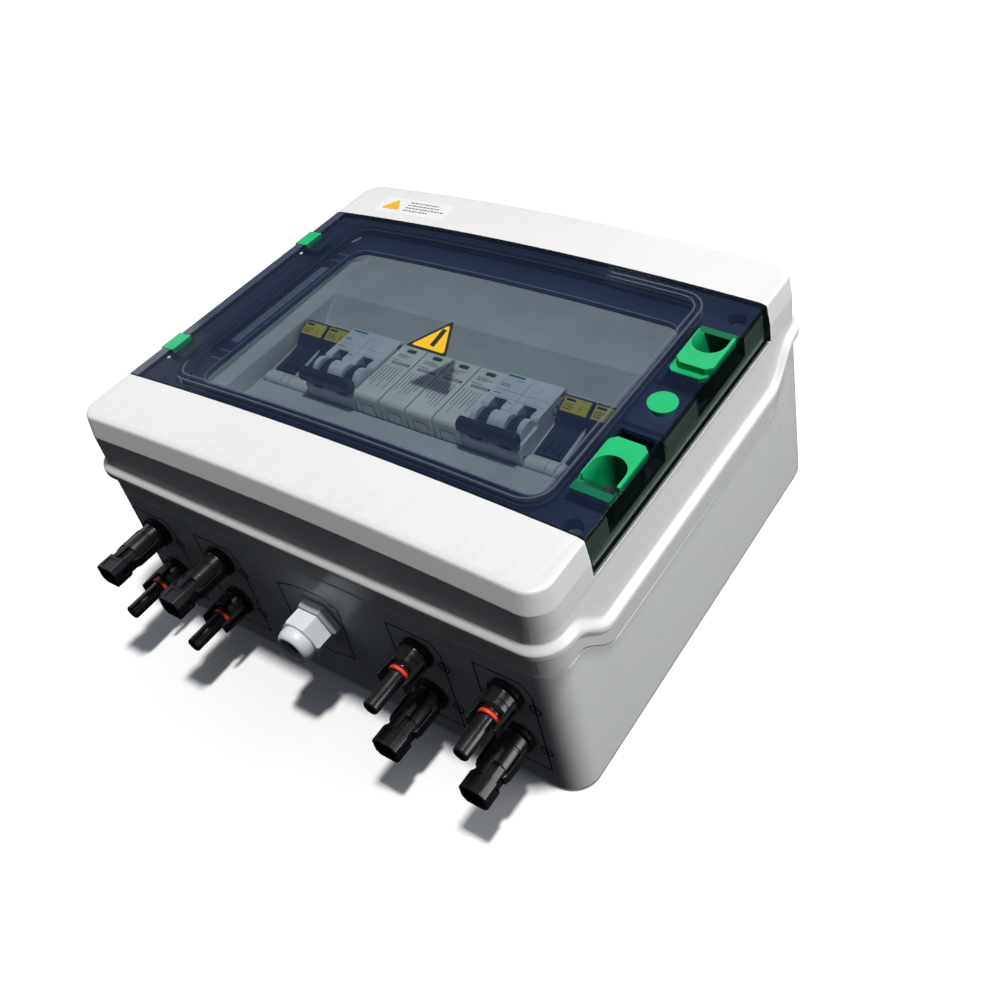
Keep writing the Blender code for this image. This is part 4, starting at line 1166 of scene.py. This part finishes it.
def make_cartridge(index):
    node_name = f"surge_cartridge_{index}"
    low, high = ends(node_name)
    top, body = high.z, f"cartridge_{index}"
    outline = [
        (FACE_LOW, 101.5), *arc(FACE_LOW + 2.6, top - 2.7, 2.6, 180, 92, 6),
        *arc(FACE_HIGH - 1.4, top - 1.4, 1.4, 90, 0, 4), (FACE_HIGH, 101.5), (8.3, 101.5),
        (8.3, low.z), (-30.3, low.z), (-30.3, 101.5),
    ]
    case = prism(f"cartridge_case_{index}", outline, "X", low.x, high.x, 0.3, 2, 28)
    x = (low.x + high.x) / 2
    window = rounded(x - 3.3, x + 3.3, 5.6, 8.6, 1.3, 8)
    cut(case, prism("window_well", window, "Z", top - 0.8, top + 1))
    groove = [(x - 5.2, 100.0), (x + 5.2, 100.0), *arc(x + 3.4, 110.2, 1.8, 0, 90, 5)]
    groove += arc(x - 3.4, 110.2, 1.8, 90, 180, 5)
    cut(case, prism("grip_groove", groove, "Y", FACE_LOW - 1, FACE_LOW + 0.5))
    pad = [(x - 4.3, 99.0), (x + 4.3, 99.0), *arc(x + 2.8, 109.4, 1.5, 0, 90, 5)]
    pad += arc(x - 2.8, 109.4, 1.5, 90, 180, 5)
    add(case, prism("grip_pad", pad, "Y", FACE_LOW + 0.02, FACE_LOW + 1.5))
    place(case, IVORY, body, [node_name], "surge_ivory")
    pane = prism(
        f"status_{index}", rounded(x - 3.1, x + 3.1, 5.8, 8.4, 1.2, 8), "Z", top - 0.9, top - 0.25
    )
    place(pane, STATUS, body)
    origin = (low.x, 0, top - 0.01)
    rows = text_rows(index, 3.0, 13.5, 3, 0.45, 1.05, 1.0)
    rows += text_rows(index + 20, 2.2, 9.5, 1, 0.5, 1.0, -1.9)
    slabs(f"cartridge_text_{index}", rows, origin, INK_SOFT, body)
    columns = text_rows(index + 40, 7.6, 26.5, 6, 0.42, 2.25, 2.0)
    slabs(f"cartridge_columns_{index}", columns, origin, INK_SOFT, body, across=DOWN, along=RIGHT)
    plate = [(3.6, -4.9, 15.4, -3.1)]
    slabs(f"cartridge_plate_{index}", plate, origin, INK, body, 0.04)
    slots = [(4.4 + 1.5 * i, -4.5, 5.3 + 1.5 * i, -3.5) for i in range(7)]
    slabs(f"cartridge_digits_{index}", slots, origin, PAPER, body, 0.08)


def make_fuse_way(index):
    node_name = f"fuse_base_{index}"
    low, high = ends(node_name)
    x = (low.x + high.x) / 2
    front = [(-24.9, 100.5), (-24.9, 105.2), *arc(-29.4, 102.4, 4.4, 62, 180, 9), (FACE_LOW, 100.5)]
    base = prism(
        f"fuse_case_{index}", device_outline(front, low, high), "X", low.x, high.x, 0.3, 2, 28
    )
    cut(base, block("fuse_well", (x - 6.8, -31.0, 88.5), (x + 6.8, 12.6, 103.2)))
    flank = [
        (12.0, 100.0), (12.0, 108.6), (4.0, 109.0), (-2.4, 108.2), (-24.0, 105.8),
        (-25.6, 105.4), (-25.6, 100.0),
    ]
    for side in (-1, 1):
        fin = sorted((x + side * 8.15, x + side * 8.8))
        add(base, prism("flank", flank, "X", *fin))
    cut(base, block("nose_seam", (x + 3.3, -40, 103.6), (x + 3.6, -25.5, 120)))
    place(base, FUSE_PALE, nodes=[node_name], slot="breaker_grey")
    terminal_marks(f"fuse_low_{index}", (x,), -44.5, 100.5, STEEL)
    terminal_marks(f"fuse_high_{index}", (x,), 22.0, 100.5, STEEL)

    carrier_low, carrier_high = ends(f"fuse_carrier_{index}")
    body = f"carrier_{index}"
    handle = [
        (-23.6, 101.3), (-23.6, 105.2), (-12.0, 106.2), (-5.0, 108.4), (0.0, 113.4),
        (8.6, 117.0), (10.8, 115.4), (10.8, 101.3),
    ]
    carrier = prism(f"carrier_case_{index}", handle, "X", carrier_low.x, carrier_high.x, 0.5, 3, 12)
    blade = [(-30.3, 91.0), (8.0, 91.0), (8.0, 102.0), (-22.5, 102.6), (-30.3, 102.6)]
    add(carrier, prism("blade", blade, "X", x - 6.5, x + 6.5))
    cut(carrier, block("channel", (x - 5.45, -32, 90), (x + 5.45, 12, 101.7)))
    relief = [(14, 99), (14, 109.4), (-2.4, 109.2), (-26, 106.6), (-26, 99)]
    for side in (-1, 1):
        cut(carrier, prism("relief", relief, "X", *sorted((x + side * 8.0, x + side * 9.5))))
    for offset in (-4.0, 0.0, 4.0):
        ridge = block(
            "ridge", (x + offset - 0.7, -21.5, 105.0), (x + offset + 0.7, -13.5, 106.7), 0.2
        )
        add(carrier, ridge)
    place(carrier, NAVY, body, [f"fuse_carrier_{index}"], "toggle_dark")
    width = carrier_high.x - carrier_low.x
    origin, slope = (carrier_low.x, 0.0, 113.4), (0, 8.6, 3.6)
    slabs(
        f"fuse_label_{index}",
        [(0.9, 0.5, width - 0.9, 8.7)],
        origin,
        MUSTARD,
        body,
        0.05,
        along=slope,
    )
    rows = [(2.0, 6.6, 7.4, 7.9)] + text_rows(index, 2.0, 9.0, 3, 0.5, 1.3, 1.9)
    slabs(f"fuse_label_text_{index}", rows, origin, INK, body, 0.1, along=slope)
    marks = [(11.6, 2.0, 11.8, 5.6), (10.6, 3.6, 12.8, 3.8)]
    slabs(f"fuse_label_mark_{index}", marks, origin, INK, body, 0.1, along=slope)


# ---- Cable entries -------------------------------------------------------------------------


def make_socket(index):
    """A wide panel connector: nut, round body, two spring arms and an eight-sided housing."""
    node_name = f"string_socket_{index}"
    low, high = ends(node_name)
    x, z, wall, tip = (low.x + high.x) / 2, (low.z + high.z) / 2, base_low.y, low.y
    nut = [(0, -12), (5.9, -12), (5.9, 0.3), (8.9, 0.3), (9.5, 0.8), (9.5, 3.1), (9.0, 3.6)]
    neck = [
        (7.6, 3.9), (7.3, 4.6), (7.3, 9.0), (7.0, 9.4), (7.0, 10.2), (7.3, 10.6), (7.3, 20.0),
        (6.8, 20.6), (0, 20.6),
    ]
    body = lathe(f"socket_{index}", nut + neck, (x, wall, z), 72, facets=(12, 8.9))
    ridge = 6.4
    section = [
        (x - 7.4, z - 3.6), (x - 4.8, z - ridge), (x + 4.8, z - ridge), (x + 7.4, z - 3.6),
        (x + 7.4, z + 3.6), (x + 4.8, z + ridge), (x - 4.8, z + ridge), (x - 7.4, z + 3.6),
    ]
    add(body, prism("housing", section, "Y", tip, wall - 27.5, 0.45, 2))
    waist = [(x + (px - x) * 0.86, z + (pz - z) * 0.86) for px, pz in section]
    add(body, prism("waist", waist, "Y", wall - 28.5, wall - 17.5, 0.3, 2))
    for side in (-1, 1):
        arm = [
            (x + side * 6.6, wall - 6.0), (x + side * 9.0, wall - 7.0),
            (x + side * 8.7, wall - 21.5), (x + side * 7.6, wall - 24.0),
            (x + side * 6.4, wall - 24.0),
        ]
        add(body, prism("arm", arm, "Z", z - 2.7, z + 2.7, 0.3))
        cut(body, spar("arm_slit", x + side * 7.6, 0.5, wall - 21.0, wall - 10.0, z, 3.5))
        cut(body, spar("side_notch", x + side * 7.9, 1.2, wall - 31.5, wall - 28.6, z, 1.9))
    for side in (-1, 1):
        cut(body, spar("top_panel", x, 3.4, tip + 1.6, tip + 7.4, z + side * 6.6, 0.7))
        rail = spar("long_rib", x, 1.1, wall - 27.8, wall - 11.0, z + side * 6.5, 0.8, 0.2)
        add(body, rail)
    cut(body, rod("mouth", (x, wall - 22, z), (x, wall - 42, z), 4.8, 40))
    mouth = rounded(x - 5.4, x + 5.4, z - 4.6, z + 4.6, 2.2, 6)
    cut(body, prism("mouth_flare", mouth, "Y", tip - 2, tip + 2.4))
    place(body, BLACK, nodes=[node_name], slot="connector_black")


def make_plug(index):
    """A slender panel connector: nut, stepped body with two catch arms, and a round nose."""
    node_name = f"string_plug_{index}"
    low, high = ends(node_name)
    x, z, wall, tip = (low.x + high.x) / 2, (low.z + high.z) / 2, base_low.y, low.y
    profile = [
        (0, -12), (5.9, -12), (5.9, 0.3), (8.7, 0.3), (9.3, 0.8), (9.3, 3.1), (8.8, 3.6), (7.8, 3.9)
    ]
    profile += [
        (7.6, 4.5), (7.6, 8.0), (7.2, 8.3), (7.2, 8.9), (7.6, 9.2), (7.6, 11.2), (6.9, 12.2),
        (5.2, 12.6),
    ]
    profile += [
        (5.2, 13.6), (3.5, 13.7), (3.5, 15.8), (4.1, 15.9), (4.1, 17.6), (4.0, 17.8),
        (4.0, 35.2), (3.6, 35.8),
    ]
    profile += [(0, 35.8)]
    body = lathe(f"plug_{index}", profile, (x, wall, z), 72, facets=(12, 8.7))
    for side in (-1, 1):
        arm = [
            (x + side * 6.3, wall - 4.5), (x + side * 8.9, wall - 4.5),
            (x + side * 8.9, wall - 13.0), (x + side * 8.2, wall - 20.5),
            (x + side * 7.0, wall - 20.5), (x + side * 6.6, wall - 13.0),
        ]
        add(body, prism("arm", arm, "Z", z - 2.9, z + 2.9, 0.3))
        slit = block(
            "arm_slit",
            (x + side * 7.7 - 0.35, wall - 17.0, z - 1.4),
            (x + side * 9.6 + 0.35, wall - 7.0, z + 1.4),
        )
        cut(body, slit)
    for side in (-1, 1):
        rail = spar("top_rib", x, 2.2, wall - 12.0, wall - 4.2, z + side * 7.4, 0.7, 0.2)
        add(body, rail)
    cut(body, rod("bore", (x, wall - 24, z), (x, wall - 40, z), 2.1, 32))
    cut(body, rod("bore_flare", (x, tip + 0.9, z), (x, tip - 0.5, z), 2.1, 32, 3.2))
    place(body, BLACK, nodes=[node_name], slot="connector_black")

    ring_centre = middle(f"plug_ring_{index}")
    section = [
        (4.65 + 0.8 * c, wall - ring_centre.y + 1.05 * s) for c, s in arc(0, 0, 1, 0, 345, 15)
    ]
    ring = lathe(f"ring_{index}", section, (ring_centre.x, wall, ring_centre.z), 56, closed=True)
    place(ring, RED, nodes=[f"plug_ring_{index}"], slot="ring_red")


def make_gland():
    low, high = ends("gland_body")
    x, wall, z = (low.x + high.x) / 2, base_low.y, (low.z + high.z) / 2
    seat = [
        (6.4, -14), (7.9, -14), (7.9, 0.3), (10.5, 0.3), (10.5, 5.8), (7.9, 5.8), (7.9, 12),
        (6.4, 12),
    ]
    body = lathe("gland_shank", seat, (x, wall, z), 64, closed=True)
    ring = [(7.2, 0.3), (12.6, 0.3), (13.6, 1.0), (13.6, 5.0), (12.4, 5.8), (7.2, 5.8)]
    add(body, lathe("gland_collar", ring, (x, wall, z), 72, True, (6, 12.0)))
    root, crest, turn = 7.5, 7.9 + 0.45, 1.3
    for i in range(9):
        at = -12.5 + turn * i
        profile = [(root, at), (crest, at + 0.5), (crest, at + 0.7), (root, at + 1.2)]
        add(body, lathe(f"thread_{i}", profile, (x, wall, z), 48, True))
    place(body, GLAND, nodes=["gland_body"], slot="gland_pale")

    cap = [(8.3, 6.3), (11.7, 6.3), (12.2, 6.8), (12.2, 15.6), (11.3, 16.4), (9.9, 16.8)]
    cap += [
        (9.7, 17.2), (10.1, 17.8), (10.0, 19.8), (9.5, 21.6), (8.6, 22.8), (7.7, 23.2), (6.9, 23.2)
    ]
    cap += [(6.5, 22.6), (6.9, 19.6), (8.3, 19.2)]
    place(
        lathe("gland_dome", cap, (x, wall, z), 96, True, (6, 11.4)),
        GLAND,
        nodes=["gland_cap"],
        slot="gland_pale",
    )

    seal = [(5.6, 12.4), (7.9, 12.4), (7.9, 18.8), (6.2, 19.2), (5.6, 18.6)]
    place(
        lathe("gland_insert", seal, (x, wall, z), 56, True),
        DOOR_RUBBER,
        nodes=["gland_seal"],
        slot="gasket_rubber",
    )

    nut = [(8.2, -3.2), (12.4, -3.2), (13.2, -3.8), (13.2, -7.0), (12.4, -7.6), (8.2, -7.6)]
    ring = lathe("gland_nut", nut, (x, wall, z), 72, True, (6, 12.0))
    place(ring, GLAND, nodes=["gland_locknut"], slot="gland_pale")


# ---- Labels, and pieces shown as the CAD made them -----------------------------------------


def flat_sign(name, outline, height, look, body, hole=None):
    """A thin printed shape on the bulged front."""
    sign = prism(name, outline, "Z", height, height + LIFT)
    if hole:
        cut(sign, prism(name + "_inside", hole, "Z", height - 1, height + 1))
    return place(bow(sign), look, body)


def rounded_triangle(corners, inset, radius, steps=6):
    """A triangle drawn in by inset with round corners."""
    corners = [Vector(c) for c in corners]
    centre = sum(corners, Vector((0, 0))) / 3
    found = []
    for i, corner in enumerate(corners):
        before, after = corners[i - 1], corners[(i + 1) % 3]
        to_before, to_after = (before - corner).normalized(), (after - corner).normalized()
        half = to_before.angle(to_after) / 2
        inward = (centre - corner).normalized()
        hub = corner + inward * (inset + radius) / math.sin(half)
        foot = (inset + radius) / math.tan(half)
        first = (corner + to_before * foot - hub).normalized() * radius
        last = (corner + to_after * foot - hub).normalized() * radius
        for step in range(steps + 1):
            found.append(tuple(hub + first.slerp(last, step / steps)))
    return found


def make_labels():
    triangle = [(5.4, 13.4), (-7.4, -14.3), (20.9, -14.9)]
    border, inside = rounded_triangle(triangle, 0.0, 1.4), rounded_triangle(triangle, 2.3, 0.8)
    flat_sign("sticker", border, FRONT, AMBER, "door")
    flat_sign("sticker_border", border, FRONT + LIFT, INK_BLACK, "door", inside)
    mark = [(3.9, 4.6), (6.9, 4.3), (8.8, -9.7), (5.8, -9.4)]
    flat_sign("sticker_mark", mark, FRONT + LIFT, INK_BLACK, "door")

    flat_sign("name_label", rounded(-121, -67, 93.5, 110, 3.0), FRONT, PAPER, "enclosure")
    lines = text_rows(3, 0, 30, 4, 1.1, 2.9, 97.5, 0.7)
    rows = [(x0 - 100, y0, x1 - 100, y1) for x0, y0, x1, y1 in lines]
    slabs("name_label_text", rows, (0, 0, FRONT + LIFT), INK_SOFT, shift=bow_at)
    swatch = rounded_triangle([(-110.5, 108.5), (-118, 97.5), (-103, 97.5)], 0, 1.0)
    flat_sign("name_label_swatch", swatch, FRONT + LIFT, AMBER, "enclosure")


def make_wall_print():
    wall_y = base_low.y
    runs, rings = [], []
    for i in range(1, 5):
        g = middle(f"string_socket_{i}").x
        runs.append(
            [(g - 17, 13), (g - 17, 75), (g + 9, 75), (g + 14, 68), (g + 14, 13), (g - 17, 13)]
        )
        for kind, mark in (("socket", "+"), ("plug", "-")):
            z = middle(f"string_{kind}_{i}").z - 5
            rings.append((g + 14, z, 3.0))
            runs.append([(g + 12.6, z), (g + 15.4, z)])
            if mark == "+":
                runs.append([(g + 14, z - 1.4), (g + 14, z + 1.4)])
    x, z = middle("gland_body").x, middle("gland_body").z
    runs.append(
        [(x - 26, z + 13), (x - 14, z + 17), (x + 5, z + 18), (x + 15, z + 13), (x + 13, z - 26)]
    )
    runs.append([(x + 13, z - 26), (x - 2, z - 29), (x - 26, z - 29), (x - 26, z + 13)])
    ribbon("wall_frames", runs, 0.8, INK, wall_y, rings)


KEPT = {
    "cover_gasket": DOOR_RUBBER,
    "din_rail": STEEL,
    "rail_bracket_left": STEEL,
    "rail_bracket_right": STEEL,
    "hinge_pin_upper": STEEL,
    "hinge_pin_lower": STEEL,
    "earth_bar": BRASS,
    "surge_base_1": IVORY,
    "surge_base_2": IVORY,
    **{f"fuse_link_{i}": CERAMIC for i in range(1, 5)},
    **{f"cover_screw_{i}": STEEL for i in range(1, 5)},
}


def finish_kept():
    for name, look in KEPT.items():
        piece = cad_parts[name]
        piece.data.materials.clear()
        piece.data.materials.append(look)
        piece.data.shade_smooth()
        piece.data.set_sharp_from_angle(angle=math.radians(30))


# ---- Everything together -------------------------------------------------------------------

make_base()
make_cover()
make_door()
for side in (-1, 1):
    make_latch(side)
make_surround()
for i in (1, 2):
    make_breaker(i)
for i in range(1, 5):
    make_cartridge(i)
    make_fuse_way(i)
    make_socket(i)
    make_plug(i)
make_gland()
make_labels()
make_wall_print()
finish_kept()


# ---- Floor, lights and camera --------------------------------------------------------------


def aimed(name, kind, position, energy, colour, size=1.0):
    lamp = bpy.data.lights.new(name, kind)
    lamp.energy, lamp.color = energy, colour
    if kind == "AREA":
        lamp.size = size
    else:
        lamp.angle = math.radians(size)
    made = bpy.data.objects.new(name, lamp)
    position = Vector(position)
    made.location = position
    made.rotation_euler = (Vector((0, 0, 0.07)) - position).to_track_quat("-Z", "Y").to_euler()
    scene.collection.objects.link(made)
    return made


aimed("sun", "SUN", (0.18, 0.05, 1.05), 2.9, (1.0, 0.985, 0.96), 5.0)
aimed("right_softbox", "AREA", (1.25, 0.30, 0.22), 12.0, (0.98, 0.99, 1.0), 0.8)
aimed("far_fill", "AREA", (-0.2, 1.4, 0.6), 5.0, (0.95, 0.97, 1.0), 1.0)
aimed("left_fill", "AREA", (-1.4, 0.1, 0.4), 2.5, (0.95, 0.97, 1.0), 1.0)

world = bpy.data.worlds.new("studio")
world.use_nodes = True
scene.world = world
sky = world.node_tree
background = sky.nodes["Background"]
where = sky.nodes.new("ShaderNodeTexCoord")
split = sky.nodes.new("ShaderNodeSeparateXYZ")
sky.links.new(where.outputs["Generated"], split.inputs[0])
height = spread(sky, split.outputs["Z"], -0.05, 0.7)
to_left = spread(sky, split.outputs["X"], -0.85, -0.35, 1.0, 0.0)
to_near = spread(sky, split.outputs["Y"], -0.05, -0.5)
overhead = blend(sky, to_left, (0.16, 0.18, 0.22), (0.46, 0.50, 0.58))
shaded = blend(sky, to_near, overhead, (0.035, 0.04, 0.045))
sky.links.new(blend(sky, height, (0.015, 0.016, 0.018), shaded), background.inputs["Color"])

floor_look, floor_tree, floor_shader = start("floor_white")
wash = spread(floor_tree, noise(floor_tree, 3.0, 2.0), 0.3, 0.7)
floor_tree.links.new(
    blend(floor_tree, wash, (0.93, 0.93, 0.93), (0.96, 0.96, 0.96)),
    floor_shader.inputs["Base Color"],
)
floor_shader.inputs["Roughness"].default_value = 0.9
floor_shader.inputs["Specular IOR Level"].default_value = 0.0
floor = block("floor", (-6000, -6000, -3), (6000, 6000, -0.5))
floor.data.materials.append(floor_look)
floor.visible_diffuse = False
floor.visible_glossy = False

eye = bpy.data.cameras.new("eye")
eye.lens, eye.sensor_width, eye.shift_x, eye.shift_y = 41.586, 36.0, -0.0367, -0.1249
eye.clip_start = 0.01
camera = bpy.data.objects.new("eye", eye)
turn = Matrix(
    ((0.82010, -0.23274, 0.52275), (0.54684, 0.58779, -0.59621), (-0.16851, 0.77481, 0.60932))
)
camera.matrix_world = Matrix.Translation((0.36054, -0.33825, 0.47898)) @ turn.to_4x4()
scene.collection.objects.link(camera)
scene.camera = camera
scene.view_settings.view_transform = "Standard"
